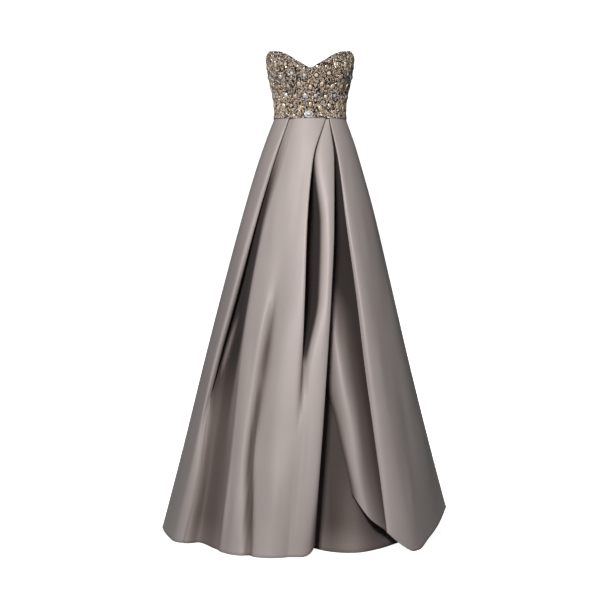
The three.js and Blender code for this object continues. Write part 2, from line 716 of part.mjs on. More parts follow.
function add(name, geometry, look) {
  geometry.computeVertexNormals();
  const mesh = new THREE.Mesh(geometry, new THREE.MeshStandardMaterial(look));
  mesh.name = name;
  group.add(mesh);
}

const princess = (side) => (height) => side * PRINCESS.bearing(height);
const fixed = (bearing) => () => bearing;

const centre = bodicePanel(princess(-1), princess(1), COLUMNS.centre, ROWS.bodiceFront);
const leftSide = bodicePanel(fixed(-90), princess(-1), COLUMNS.side, ROWS.bodiceFront);
const rightSide = bodicePanel(princess(1), fixed(90), COLUMNS.side, ROWS.bodiceFront);
const leftBack = bodicePanel(fixed(-180), fixed(-90), COLUMNS.back, ROWS.bodiceBack);
const rightBack = bodicePanel(fixed(90), fixed(180), COLUMNS.back, ROWS.bodiceBack);

add("bodice_front_centre", centre, BEADED);
add("bodice_front_left", leftSide, BEADED);
add("bodice_front_right", rightSide, BEADED);
add("bodice_back_left", leftBack, BEADED);
add("bodice_back_right", rightBack, BEADED);
add("waist_medallion", medallion(), CRYSTAL);
add("skirt_front", skirtFront(), SATIN);
add("skirt_overlay_right", skirtOverlay(), SATIN);
add("skirt_underlay", skirtUnderlay(), SATIN);
add("skirt_back_left", skirtBack(-1), SATIN);
add("skirt_back_right", skirtBack(1), SATIN);
add("zip_slider", zipSlider(), ZIP_METAL);
add("zip_pull", zipPull(), ZIP_METAL);

export default group;
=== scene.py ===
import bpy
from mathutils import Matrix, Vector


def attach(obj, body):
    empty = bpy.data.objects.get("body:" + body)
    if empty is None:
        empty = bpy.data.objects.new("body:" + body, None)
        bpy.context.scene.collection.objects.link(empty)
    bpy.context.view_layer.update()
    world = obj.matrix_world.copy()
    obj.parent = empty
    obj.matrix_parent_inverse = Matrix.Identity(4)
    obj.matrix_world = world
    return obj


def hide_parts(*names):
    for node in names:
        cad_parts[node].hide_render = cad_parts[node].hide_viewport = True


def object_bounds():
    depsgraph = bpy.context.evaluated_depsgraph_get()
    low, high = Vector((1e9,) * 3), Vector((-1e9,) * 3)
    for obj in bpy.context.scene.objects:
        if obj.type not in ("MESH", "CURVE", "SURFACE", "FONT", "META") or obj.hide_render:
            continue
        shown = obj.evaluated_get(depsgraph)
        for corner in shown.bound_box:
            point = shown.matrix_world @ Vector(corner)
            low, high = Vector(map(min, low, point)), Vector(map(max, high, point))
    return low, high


bl_info = {
    "name": "Strapless gown",
    "version": (1, 0, 0),
    "blender": (4, 5, 0),
    "location": "3D View > Sidebar > Gown",
    "description": "Builds a beaded strapless gown with a pleated satin skirt around its packed frame",
    "category": "Add Mesh",
}

# Lengths in the tables are millimetres, and the frame is in metres. The front of the gown
# faces -Y, +X is to the right of someone looking at it, and +Z is up from the waist seam.
# Bearings run round the body in degrees: 0 is centre front, 90 the right side and 180
# centre back. Drops run down from the waist seam.

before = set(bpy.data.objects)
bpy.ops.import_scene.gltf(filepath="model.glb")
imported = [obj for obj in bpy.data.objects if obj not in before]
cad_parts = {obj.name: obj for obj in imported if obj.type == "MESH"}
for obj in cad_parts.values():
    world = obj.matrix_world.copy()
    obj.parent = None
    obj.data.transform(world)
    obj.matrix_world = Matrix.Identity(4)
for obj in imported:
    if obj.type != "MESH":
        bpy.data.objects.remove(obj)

import bpy
import numpy as np
from mathutils import Vector

CAD_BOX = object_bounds()
FLOOR_HEIGHT = float(np.min(np.array(CAD_BOX)[:, 2]))
MM = 0.001

# Driving sizes, the same as the frame's
SKIRT_LENGTH = 1183.0
SEAM_GAP = 0.3
TURN_STEP = 3.2
TURN = {"waist": 1.7, "hem": 2.4}
RIGHT_SIDE_LENGTH = 1124.0
ROW_CROWDING = 1.25

# The skirt's girth: half reaches to the left, right, front and back at each drop
GIRTH_COLUMNS = ("drop", "left", "right", "front", "back")
GIRTH_ROWS = (
    (0, 103, 103, 87, 87), (35, 117, 115.5, 99, 100), (70, 130, 128, 111, 114), (140, 154, 149, 134, 142),
    (250, 187, 180, 168, 185), (450, 242, 228, 226, 252), (700, 307, 287, 293, 332),
    (950, 369, 350, 357, 405), (1183, 430, 412, 418, 470),
)

# The bodice's girth at each height above the waist seam
BODICE_COLUMNS = ("height", "side", "front", "back")
BODICE_ROWS = (
    (0, 103, 86, 86), (22, 100.5, 84, 85), (56, 103.5, 89, 87), (90, 111, 99, 91), (125, 118.5, 106, 97),
    (150, 122, 106, 100), (171, 124.5, 102, 102), (196, 125, 97, 104),
)

# The bodice's top edge: sweetheart dip, two peaks and a low straight back
TOP_EDGE_BEARINGS = (0, 5, 10, 19, 27, 35, 45, 62, 72, 90, 115, 145, 180)
TOP_EDGE_HEIGHTS = (139, 143.5, 150, 162, 173.5, 182, 187.5, 191, 186, 172, 158, 150, 147)

# The bust fullness, and the princess seams that shape it
CUP = {"bearing": 38, "height": 124, "out": 15, "wide": 21, "below": 36, "above": 45}
PRINCESS_HEIGHTS = (0, 60, 124, 190)
PRINCESS_BEARINGS = (17, 24, 36, 42)
SIDES = {"left": -1, "right": 1}
BODICE_RADIUS = 112.0
BODICE_HEIGHT = 170.0

# The bodice's panels: the seams at both edges, as a bearing or a side of the princess
# seams, then columns and rows of the panel's grid
BODICE_PANELS = (
    ("left", "right", 46, 60), (-90, "left", 36, 60), ("right", 90, 36, 60),
    (-180, -90, 40, 44), (90, 180, 40, 44),
)

# Fold lines of the skirt's front: x across the front, and how far behind the girth, at
# each of these drops
DROPS = (0, 120, 300, 500, 700, 850, 1000, 1190)
FRONT = {
    "side_roll": ((-67, -108, -165, -218, -272, -305, -336, -382), (-1, -2, -3, -4, -5, -5, -5, -4)),
    "side_lip": ((-60, -101, -154, -206, -260, -296, -316, -361), (0, 5, 10, 19, 21, 13, 18, 13)),
    "side_tuck": ((-71, -112, -167, -218, -268, -286, -306, -348), (5.5, 9, 14, 27, 30, 26, 31, 23)),
    "inner_fold": ((-57, -95, -149, -197, -245, -275, -295, -332), (8, 16, 34, 60, 52, 40, 46, 45)),
    "trough": ((-52, -88, -141, -187, -232, -258, -282, -312), (6, 13, 28, 56, 54, 56, 64, 76)),
    "crease": ((-45, -76, -128, -168, -195, -209, -224, -250), (2, 5, 6, 9, 7, 6, 4, 16)),
    "left_face": ((-34, -58, -95, -128, -160, -180, -196, -218), (0.5, 2, 2, 2, 0, -3, -7, -9)),
    "soft_valley": ((-12, -32, -64, -98, -131, -146, -157, -170), (0, 0, 1, 8, 15, 13, 4, -10)),
    "mid_face": ((8, -16, -40, -66, -88, -100, -108, -118), (0, 0, 0, 1, 1, -2, -8, -13)),
    "right_face": ((29, -4, -24, -38, -50, -60, -70, -82), (0, -1, -2, -2, -1, -2, -4, -2)),
    "front_lip": ((43, 7, -9, -16, -25, -36, -46, -58), (0, -2, -3, -3, 0, 0, 2, 11)),
    "pocket_tuck": ((34, -6, -26, -33, -23, -25, -37, -50), (4.6, 14, 30, 36, 6, 1, 3, 12)),
    "pocket_floor": ((41, 4, 2, -4, -15, -15, -28, -42), (8.4, 30, 78, 80, 8, 1, 3, 13)),
    "pocket_shoulder": ((45, 17, 31, 26, -5, -5, -18, -33), (7, 9, 13, 10, 3, 1, 4, 14)),
    "slit_face": ((48.5, 42, 47, 41, 14, 6, -4, -20), (5.2, 2, 2, 2, 0, 0, 4, 17)),
    "slit_turn": ((50.5, 58, 58, 49, 34, 24, 12, -4), (4.2, 0, 0, 0, -1, 0, 5, 26)),
    "slit_edge": ((52, 67, 66, 57, 43.5, 33, 21.5, 9), (3.4, 1.5, 2, 2, 2, 4, 12, 52)),
}
OVERLAY = {
    "free_edge": ((36, 46, 48, 38, 40, 72, 106, 140), (16, 27, 58, 72, 70, 60, 50, 52)),
    "crest": ((43, 54, 62, 68, 87, 115, 137, 185), (15.5, 28, 62, 58, 34, 28, 28, 30)),
    "slope": ((51, 70, 90, 108, 128, 150, 172, 215), (14.5, 29, 64, 77, 68, 62, 58, 50)),
    "valley": ((65, 92, 116, 142, 166, 186, 206, 236), (11.5, 25, 57, 78, 72, 66, 62, 54)),
    "underside": ((59.5, 85, 108, 136, 158, 178, 198, 222), (6.5, 13, 30, 40, 38, 34, 30, 26)),
    "ridge": ((54.4, 79, 101, 128, 151, 171, 191, 214), (0.4, 1, 3, 5, 6, 4, 2, 0)),
    "nose": ((61, 87, 110, 138, 163, 186, 208, 236), (0, -2, -4, -6, -8, -9, -10, -9)),
    "light_edge": ((72, 101, 127, 158, 190, 218, 244, 284), (0, -2, -6, -10, -13, -15, -16, -14)),
}
UNDERLAY = {
    "hidden_edge": ((26, 34, 40, 36, 20, -6, -14, -10), (18.5, 38, 74, 104, 108, 118, 130, 150)),
    "left_shade": ((36, 46, 56, 58, 56, 52, 54, 58), (18.5, 36, 73, 100, 92, 84, 80, 76)),
    "middle": ((48, 62, 74, 88, 102, 110, 116, 124), (18, 36, 75, 98, 88, 76, 64, 50)),
    "right_shade": ((64, 88, 108, 132, 152, 166, 178, 190), (17, 37, 73, 94, 92, 86, 82, 76)),
    "far_edge": ((76, 104, 134, 164, 192, 212, 230, 246), (14.5, 37, 71, 92, 94, 96, 104, 122)),
}
# Line lengths where the hem rises to the slit and at the overlay's rounded side
SLIT_LENGTHS = {"slit_turn": SKIRT_LENGTH - 6, "slit_edge": SKIRT_LENGTH - 22}
OVERLAY_LENGTHS = {
    "free_edge": 1030, "crest": 1092, "slope": 1130, "valley": 1151, "underside": 1140,
    "ridge": 1131, "nose": 1150, "light_edge": 1186, "side_third": 1167, "side_far": 1147,
}

# Back pleats, and the lines of each: shut, a line lies along and out of the girth by a
# length and a share of the pleat's overlap or depth; opened, by open_along and a share of
# the wave
BACK_PLEATS = (
    {"waist": 24, "hem": 27, "overlap": 11, "depth": 22, "opens": 760},
    {"waist": 56, "hem": 57, "overlap": 10, "depth": 20, "opens": 900},
)
BACK_WAVE = 12.0  # how far the open folds stand in and out of the girth at the hem
WAVE_STARTS = 200.0
PLEAT_START = {"overlap": 3.0, "depth": 7.5}
OPENS_FROM = 0.55  # share of the drop where a pleat stands open, at which it begins to
OPEN_WIDTH = 0.3  # width factor of an opened pleat at the waist, one more at the hem
BACK_ENDS = {"side": (78, 0.3), "centre": (9, 0.5)}  # degrees from centre back, share of wave
PLEAT_GROWS = (-60.0, 260.0)  # drops over which a pleat grows from its start
PLEAT_COLUMNS = ("along", "of_overlap", "out", "of_depth", "open_along", "of_wave")
PLEAT_LINES = (
    (-10, -1, 0.2, 0, -34, 0.7), (-1.4, 0, 0, 0, -22, 1), (0, 0, -1.7, 0, -14, 0.9),
    (-1.4, 0, -3.4, 0, -6, 0.5), (0, -1, -1, -0.5, 2, -0.2), (-0.4, -1, -3.4, -0.5, 10, -0.7),
    (3, 0, 0, -1, 20, -1), (9, 1, -1.5, 0, 36, -0.4),
)

# Soft creases pressed and hung into each panel: x and drop of both ends, half width and
# height, where a trough has a height below nothing
CREASES = {
    "front": (
        (-22, 40, -58, 300, 15, -1.3), (14, 70, 2, 330, 13, 1.1), (-84, 150, -118, 420, 10, 1.4),
        (2, 380, -34, 800, 19, -1.8), (-90, 440, -146, 780, 9, -5.5), (-121, 600, -186, 1060, 11, -12.0),
        (-162, 780, -176, 1460, 11, -14.0), (-176, 470, -276, 810, 7, 5.0),
        (-112, 420, -156, 800, 15, 3.0), (-146, 640, -178, 1040, 15, 3.0),
        (-204, 760, -262, 1400, 6, 3.2), (-219, 740, -278, 1400, 8, -5.0),
        (-150, 520, -182, 930, 11, -2.2), (-236, 330, -300, 640, 13, -2.0),
        (-190, 150, -214, 330, 12, 1.5), (-330, 560, -372, 980, 15, 2.2),
        (-300, 860, -326, 1150, 9, -2.4), (-92, 900, -98, 1180, 15, 2.4), (-196, 960, -212, 1180, 9, 1.8),
        (-30, 860, -44, 1170, 13, -1.9), (-12, 560, -36, 880, 6, -6.0), (44, 260, 38, 520, 8, -1.0),
    ),
    "overlay": (
        (92, 60, 124, 300, 10, -1.2), (132, 180, 176, 480, 12, 1.6), (182, 240, 236, 640, 14, -2.0),
        (176, 520, 214, 860, 12, 1.5), (232, 620, 298, 1080, 15, -2.4), (300, 700, 348, 1090, 13, 2.2),
        (262, 900, 290, 1160, 9, 1.8), (76, 420, 96, 760, 9, -1.6), (112, 700, 150, 1040, 10, 2.0),
    ),
    "underlay": (
        (40, 380, 46, 760, 12, 2.2), (66, 640, 78, 1120, 15, -1.6), (104, 760, 118, 1150, 10, 2.4),
        (30, 860, 34, 1180, 9, -2.0), (144, 560, 160, 1000, 14, 2.0),
    ),
    "back_right": (
        (40, 80, 58, 360, 12, -1.4), (88, 240, 118, 620, 14, 1.8), (30, 420, 46, 860, 16, -2.4),
        (150, 360, 196, 820, 15, -2.2), (190, 700, 236, 1140, 14, 2.6), (96, 700, 118, 1120, 12, -2.6),
        (56, 880, 62, 1180, 10, 2.2), (262, 520, 306, 940, 14, 2.0), (300, 840, 330, 1140, 11, -2.2),
    ),
    "back_left": (
        (-46, 60, -66, 300, 12, 1.3), (-96, 180, -134, 560, 13, -1.8), (-34, 360, -48, 760, 15, 2.0),
        (-160, 420, -210, 900, 16, 2.4), (-204, 760, -244, 1160, 12, -2.6),
        (-110, 620, -138, 1060, 13, 2.2), (-62, 800, -70, 1170, 11, -2.4),
        (-276, 420, -330, 860, 14, -2.0), (-318, 820, -352, 1150, 12, 2.2),
    ),
}

# Each panel's grid: mean column width, and rows in its length
COLUMN_PITCH = 5.2
FEWEST_COLUMNS, MOST_COLUMNS = 3, 14  # between one line and the next
SEAM_FADE = 30.0  # width beside a seam over which creases die out, so that edges meet
PANEL_ROWS = {"front": 190, "overlay": 180, "underlay": 140, "back": 170}

# Shade painted into the cloth's colour in a fold: how far behind the girth it begins, where
# it is darkest and how dark it is there, in the narrow upper skirt and lower down where
# the folds stand open. Deep behind, an open fold shades itself, and part of the painted
# shade is taken away.
FOLD_SHADE = {
    "front": {"upper": (5, 24, 1.0), "lower": (6, 44, 0.7), "opens": (620, 900)},
    "overlay": {"upper": (6, 24, 1.0), "lower": (30, 82, 0.95), "opens": (300, 560)},
    "underlay": {"upper": (4, 24, 1.0), "lower": (10, 76, 0.9), "opens": (300, 560),
                 "shades_itself": (80, 116, 0.6)},
    "back": {"upper": (4, 18, 0.9), "lower": (5, 24, 0.8), "opens": (300, 900)},
}
# Shade painted into a crease's trough, and taken away on its ridge as painted light: the height where
# each begins, where it is most, and how much.
CREASE_SHADE = {"begins": 1.0, "darkest": 9.0, "most": 0.8}
RIDGE_LIGHT = {"begins": 1.5, "lightest": 5.0, "most": 0.55}

# Shade painted on the pressed plane left of the front's crease, which faces away from the
# light, and beside the overlay's free edge, which lies in shade: how dark, over what width,
# and the drops over which they begin. Near the hem part of the painted shade is taken
# away, as painted light from the floor.
PAINTED_PLANE_SHADE = {"most": 0.4, "edge": 4.0, "fade": 16.0, "begins": (560, 760)}
SHADED_EDGE = {"most": 0.9, "wide": 46.0, "begins": (300, 600)}
HEM_LIGHT = {"most": 0.3, "from": 1100, "to": 1180}

# Beadwork: large stones on a diagonal lattice whose rows swing up and down, and what is
# scattered between them
STONES = {
    "across": 31.0, "up": 29.0, "lowest": 33.0, "edge": 12.0, "girth": 110.0,
    "swing": 6.0, "swing_round": 0.12, "swing_up": 1.9, "rows": 7, "beside_zip": 9,
    "lift": 1.1, "upright": (0.78, 1.08), "round": (0.9, 0.9), "deep": 3.6,
    "grows": (0.8, 1.2), "turns": 0.5,
}
STONE_TONES = (
    (0.0, (0.64, 0.52, 0.38)), (0.2, (0.70, 0.62, 0.50)), (0.45, (0.55, 0.54, 0.56)),
    (0.7, (0.52, 0.40, 0.34)),
)

# Rows of beads between the stones: where they run up the bodice, their steps and how
# uneven they are as shares of the pitch, and how far they stay from edges and stones
BEAD_ROWS = {
    "lowest": 2.2, "highest": 192, "apart": 0.86, "uneven": 0.24, "below_edge": 2.2,
    "above_waist": 1.8, "beside_zip": 3.4, "beside_stone": 7.8,
}
BEAD_GROWS = (0.85, 1.15)
BEAD_LEANS = 0.26
BEAD_SEED = 41
RING = {"beads": 15, "clear": 1.3, "lift": 0.9, "half_size": 1.35}

# Strings of beads: bearings of the ends, beads in each, half sizes, and for each string
# whether it follows the top edge, then its height over its edge, its shift and its lift
EDGE = {"ends": (-179, 179), "beads": 300, "half_size": (1.15, 1.5)}
EDGE_STRINGS = ((True, -0.6, 0, 0.2), (True, -2.6, 0, 0.9), (False, 1.4, 0.4, 0.9))

# The waist ornament: its place and size, its plate, and its large stone in a ring of
# small ones
ORNAMENT = {
    "x": -4.0, "height": 10.8, "wide": 26.0, "tall": 21.0, "plate": 3.4, "plate_lift": 1.2,
    "stone": (7.4, 5.6, 5.2), "stone_lift": 2.2, "ring": 16, "ring_stone": 2.2,
    "ring_inset": (2.2, 2.0),
}

# The lips of cloth over the zip: heights up the back, and sizes across
ZIP_LIPS = {
    "top": 126.0, "bottom": 5.0, "gap": 0.25, "wide": 2.9, "root": 3.4, "rise": 0.9,
    "clear": 0.35, "thick": 0.6,
}


def monotone(at, values):
    """A smooth curve through values at rising places: a cubic whose slope at each place is
    the harmonic mean of the slopes beside it, or nothing at a turning point."""
    at, values = np.asarray(at, float), np.asarray(values, float)
    chord = np.diff(values) / np.diff(at)
    product = chord[:-1] * chord[1:]
    total = np.where(product > 0, chord[:-1] + chord[1:], 1.0)
    inner = np.where(product > 0, 2 * product / total, 0.0)
    slope = np.concatenate([chord[:1], inner, chord[-1:]])

    def curve(place):
        place = np.asarray(place, float)
        i = np.searchsorted(at[1:-1], place, side="left")
        step = at[i + 1] - at[i]
        s = (place - at[i]) / step
        rise = s * s * (3 - 2 * s)
        start_tilt = s * (1 - s) ** 2 * step * slope[i]
        end_tilt = s * s * (s - 1) * step * slope[i + 1]
        return values[i] + (values[i + 1] - values[i]) * rise + start_tilt + end_tilt

    return curve


def columns_of(names, rows):
    """One smooth curve of the first column for each other column of a table."""
    data = np.array(rows, float)
    return {name: monotone(data[:, 0], data[:, k + 1]) for k, name in enumerate(names[1:])}


GIRTH = columns_of(GIRTH_COLUMNS, GIRTH_ROWS)
BODICE = columns_of(BODICE_COLUMNS, BODICE_ROWS)
TOP_EDGE = monotone(TOP_EDGE_BEARINGS, TOP_EDGE_HEIGHTS)
PRINCESS = monotone(PRINCESS_HEIGHTS, PRINCESS_BEARINGS)


def ease(value, start, end):
    """Nothing before start, one after end, and an S-shaped cubic between them."""
    s = np.clip((value - start) / (end - start), 0, 1)
    return s * s * (3 - 2 * s)


def unit(vectors):
    """Vectors along the last axis, each made one long."""
    return vectors / np.maximum(np.linalg.norm(vectors, axis=-1, keepdims=True), 1e-9)


# Skirt lines: each is its length and a function from drops to points

def reaches(x, y, drop):
    """The girth's half width on the side of x and half depth on the side of y."""
    wide = np.where(x < 0, GIRTH["left"](drop), GIRTH["right"](drop))
    return wide, np.where(y < 0, GIRTH["front"](drop), GIRTH["back"](drop))


def girth_point(bearing, drop, along=0.0, out=0.0):
    """A point of the half ellipses at a bearing, moved along the girth and outwards."""
    angle = np.radians(bearing) + np.zeros_like(drop)
    wide, deep = reaches(angle, -np.cos(angle), drop)
    tangent = unit(np.stack([wide * np.cos(angle), deep * np.sin(angle)], -1))
    x = wide * np.sin(angle) + along * tangent[..., 0] + out * tangent[..., 1]
    y = -deep * np.cos(angle) + along * tangent[..., 1] - out * tangent[..., 0]
    return np.stack([x, y, -np.maximum(drop, SEAM_GAP / 2)], -1)


def front_point(x, back, drop):
    """A point of the front half ellipse at x, moved back by a distance."""
    wide, deep = reaches(x, -1, drop)
    y = -deep * np.sqrt(np.maximum(0, 1 - (x / wide) ** 2))
    return np.stack([x, y + back, -np.maximum(drop, SEAM_GAP / 2)], -1)


def fold_line(row, length=SKIRT_LENGTH):
    """A line of a fold table, smooth between its drops."""
    x, back = (monotone(DROPS, values) for values in row)
    return length, lambda drop: front_point(x(drop), back(drop), drop)


# Turns in the order in which the cloth goes round them, as (sideways, back) in radii
LIP_TO_RIGHT = ((-0.8, 0), (0, 1), (-0.8, 2))
TUCK_TO_LEFT = ((0.8, -1), (0, 0), (0.8, 1))
TUCK_TO_RIGHT = ((-0.8, 1), (0, 0), (-0.8, -1))
LIP_TO_LEFT = ((0.8, 2), (0, 1), (0.8, 0))
STAYS_SHUT = (2 * SKIRT_LENGTH, 3 * SKIRT_LENGTH)


def line_between(first, last, share):
    """A line at a share of the straight way from one fold's line to another's."""
    start, end = fold_line(first)[1], fold_line(last)[1]
    return SKIRT_LENGTH, lambda drop: start(drop) * (1 - share) + end(drop) * share


def turn_lines(row, offsets, radii, opens, length=SKIRT_LENGTH):
    """Three lines round a turn of the cloth: the fold's line, moved by offsets in radii
    that grow from waist to hem, and spread by an even step where the fold has opened."""
    base = fold_line(row)[1]

    def moved(k, side, behind):
        def point(drop):
            opened = ease(drop, *opens)
            radius = radii["waist"] + (radii["hem"] - radii["waist"]) * drop / SKIRT_LENGTH
            points = base(drop)
            points[..., 0] += side * radius * (1 - opened) + (k - 1) * TURN_STEP * opened
            points[..., 1] += behind * radius * (1 - opened)
            return points
        return length, point

    return [moved(k, side, behind) for k, (side, behind) in enumerate(offsets)]


def side_line(row, seam, share, outs, length=SKIRT_LENGTH):
    """A line on the girth, at a share of the way from a fold's line to a side seam's
    bearing, and out of the girth by a smooth curve of the drop."""
    x, out = (monotone(DROPS, values) for values in (row[0], outs))

    def point(drop):
        start = np.degrees(np.arcsin(x(drop) / reaches(x(drop), -1, drop)[0]))
        return girth_point(start + (seam - start) * share, drop, 0.0, out(drop))

    return length, point


def seam_line(bearing, along, length=SKIRT_LENGTH):
    """The line of a seam at a bearing, half the seam gap short of it."""
    return length, lambda drop: girth_point(bearing, drop, along)


def front_lines():
    """The skirt's front in order: left side, knife pleat, face, pocket and slit edge."""
    side_pleat = (720.0, 880.0)
    pocket = (640.0, 800.0)
    f = FRONT

    def folds(*names):
        return [fold_line(f[name]) for name in names]

    return [
        seam_line(-90, SEAM_GAP / 2),
        side_line(f["side_roll"], -90, 0.66, (0, 0, -1, -2, -3, -4, -5, -6)),
        side_line(f["side_roll"], -90, 0.3, (0, 0, 0, -1, -2, -3, -4, -5)),
        fold_line(f["side_roll"]),
        *turn_lines(f["side_lip"], LIP_TO_RIGHT, TURN, side_pleat),
        *turn_lines(f["side_tuck"], TUCK_TO_LEFT, TURN, side_pleat),
        *folds("inner_fold", "trough"),
        line_between(f["trough"], f["crease"], 0.86),
        *folds("crease", "left_face", "soft_valley", "mid_face", "right_face"),
        *turn_lines(f["front_lip"], LIP_TO_RIGHT, TURN, pocket),
        *turn_lines(f["pocket_tuck"], TUCK_TO_LEFT, TURN, pocket),
        *folds("pocket_floor", "pocket_shoulder", "slit_face"),
        *[fold_line(f[name], length) for name, length in SLIT_LENGTHS.items()],
    ]


def overlay_lines():
    """The right overlay in order: hidden free edge, inner folds, ridge and right side."""
    o = OVERLAY
    long = OVERLAY_LENGTHS
    valley = {"waist": 2.0, "hem": 7.0}
    ridge = {"waist": 2.0, "hem": 2.6}
    edge = o["light_edge"]
    return [
        *[fold_line(o[name], long[name]) for name in ("free_edge", "crest", "slope")],
        *turn_lines(o["valley"], TUCK_TO_RIGHT, valley, STAYS_SHUT, long["valley"]),
        fold_line(o["underside"], long["underside"]),
        *turn_lines(o["ridge"], LIP_TO_LEFT, ridge, STAYS_SHUT, long["ridge"]),
        fold_line(o["nose"], long["nose"]),
        fold_line(edge, long["light_edge"]),
        side_line(edge, 90, 0.3, (0, 0, 0, 0, 0, -2, -6, -14), long["side_third"]),
        side_line(edge, 90, 0.62, (0, 0, 0, 0, 0, -3, -9, -20), long["side_far"]),
        seam_line(90, -SEAM_GAP / 2, RIGHT_SIDE_LENGTH),
    ]


def back_lines(side):
    """A back panel in order from its side seam to centre back, with its knife pleats. The
    left one is turned round, so that both run the same way round the body."""
    side_length = RIGHT_SIDE_LENGTH if side > 0 else SKIRT_LENGTH

    def hem_at(from_back):
        return SKIRT_LENGTH + (side_length - SKIRT_LENGTH) * (from_back / 90) ** 2

    def wave(drop):
        return BACK_WAVE * ease(drop, WAVE_STARTS, SKIRT_LENGTH)

    def plain(from_back, of_wave):
        bearing = side * (180 - from_back)
        return hem_at(from_back), lambda drop: girth_point(bearing, drop, 0, of_wave * wave(drop))

    def folded(pleat, edge):
        def point(drop):
            share = drop / SKIRT_LENGTH
            from_back = pleat["waist"] + (pleat["hem"] - pleat["waist"]) * share
            opened = ease(drop, pleat["opens"] * OPENS_FROM, pleat["opens"])
            grown = ease(drop, *PLEAT_GROWS)
            overlap, depth = (
                PLEAT_START[size] * (1 - grown) + pleat[size] * grown
                for size in ("overlap", "depth")
            )
            shut_along = edge["along"] + edge["of_overlap"] * overlap
            shut_out = edge["out"] + edge["of_depth"] * depth
            along = shut_along * (1 - opened) + edge["open_along"] * (OPEN_WIDTH + share) * opened
            out = shut_out * (1 - opened) + edge["of_wave"] * wave(drop) * opened
            return girth_point(side * (180 - from_back), drop, side * along, out)
        return hem_at(pleat["hem"]), point

    lines = [seam_line(side * 90, side * SEAM_GAP / 2, side_length), plain(*BACK_ENDS["side"])]
    for pleat in reversed(BACK_PLEATS):
        for row in PLEAT_LINES:
            lines.append(folded(pleat, dict(zip(PLEAT_COLUMNS, row))))
    lines += [plain(*BACK_ENDS["centre"]), seam_line(side * 180, -side * SEAM_GAP / 2)]
    return lines if side > 0 else lines[::-1]


# Surfaces

def lines_to_grid(lines, row_count):
    """Points on a grid: each row is a centripetal Catmull-Rom curve through the lines at
    one share of their lengths, cut into steps of about the column pitch at mid skirt."""
    share = np.linspace(0, 1, row_count) ** ROW_CROWDING
    through = np.stack([point(share * length) for length, point in lines], axis=1)
    middle = through[row_count // 2]
    spans = np.linalg.norm(np.diff(middle, axis=0), axis=1)
    splits = np.clip(np.round(spans / COLUMN_PITCH), FEWEST_COLUMNS, MOST_COLUMNS).astype(int)
    before = 2 * through[:, :1] - through[:, 1:2]
    after = 2 * through[:, -1:] - through[:, -2:-1]
    p = np.concatenate([before, through, after], axis=1)
    step = np.maximum(np.sqrt(np.linalg.norm(np.diff(p, axis=1), axis=2)), 1e-4)[..., None]
    parts = []
    for k, count in enumerate(splits):
        a, b, c, d = (p[:, k + i] for i in range(4))
        u, v, w = (step[:, k + i] for i in range(3))
        t1 = ((b - a) / u - (c - a) / (u + v) + (c - b) / v) * v
        t2 = ((c - b) / v - (d - b) / (v + w) + (d - c) / w) * v
        s = (np.arange(count) / count)[None, :, None]
        cubic = 2 * b - 2 * c + t1 + t2
        square = -3 * b + 3 * c - 2 * t1 - t2
        parts.append(b[:, None] + s * (t1[:, None] + s * (square[:, None] + s * cubic[:, None])))
    parts.append(through[:, -1:])
    return np.concatenate(parts, axis=1)


def crease_height(across, drop, creases):
    """The sum of soft troughs and ridges: sideways each is a bell, and along its length it
    rises and fades as the square of a sine."""
    total = np.zeros_like(across)
    for x0, drop0, x1, drop1, half_width, height in creases:
        run_x, run_drop = x1 - x0, drop1 - drop0
        long = np.hypot(run_x, run_drop)
        along = ((across - x0) * run_x + (drop - drop0) * run_drop) / long ** 2
        aside = ((across - x0) * run_drop - (drop - drop0) * run_x) / long
        fade = np.sin(np.pi * np.clip(along, 0, 1)) ** 2
        total += height * np.exp(-(aside / half_width) ** 2) * fade
    return total


def girth_outwards(points):
    """The level direction out of the skirt's ellipse at each point, so that all the layers
    of a fold move the same way."""
    x, y, drop = points[..., 0], points[..., 1], -points[..., 2]
    wide, deep = reaches(x, y, drop)
    level = unit(np.stack([x / wide ** 2, y / deep ** 2], -1))
    return np.concatenate([level, np.zeros_like(points[..., :1])], -1)


def behind_girth(points):
    """How far each point lies inside the skirt's ellipse, measured from front to back, or
    at the sides, where that says little, twice the way towards the middle."""
    x, y, drop = points[..., 0], points[..., 1], -points[..., 2]
    wide, deep = reaches(x, y, drop)
    to_front = deep * np.sqrt(np.maximum(0, 1 - (x / wide) ** 2)) - np.abs(y)
    share = np.hypot(x / wide, y / deep)
    to_middle = (1 - share) / share * np.hypot(x, y)
    return np.minimum(to_front, 2 * to_middle)


def grid_normals(points):
    """Outward normals of a grid: the way down crossed with the way across."""
    return unit(np.cross(np.gradient(points, axis=0), np.gradient(points, axis=1)))


def grid_lengths(points):
    """The cloth's own flat coordinates: the length run across each row from its middle,
    and the length run down each column."""
    across = np.linalg.norm(np.diff(points, axis=1), axis=2)
    down = np.linalg.norm(np.diff(points, axis=0), axis=2)
    u = np.concatenate([np.zeros((len(points), 1)), np.cumsum(across, axis=1)], axis=1)
    v = np.concatenate([np.zeros((1, points.shape[1])), np.cumsum(down, axis=0)], axis=0)
    return np.stack([(u - u[:, -1:] / 2), v], -1) * MM


def around(grid):
    """The values along a grid's edge, once round it."""
    return np.concatenate([grid[:, 0], grid[-1, 1:], grid[-2::-1, -1], grid[0, -2:0:-1]])


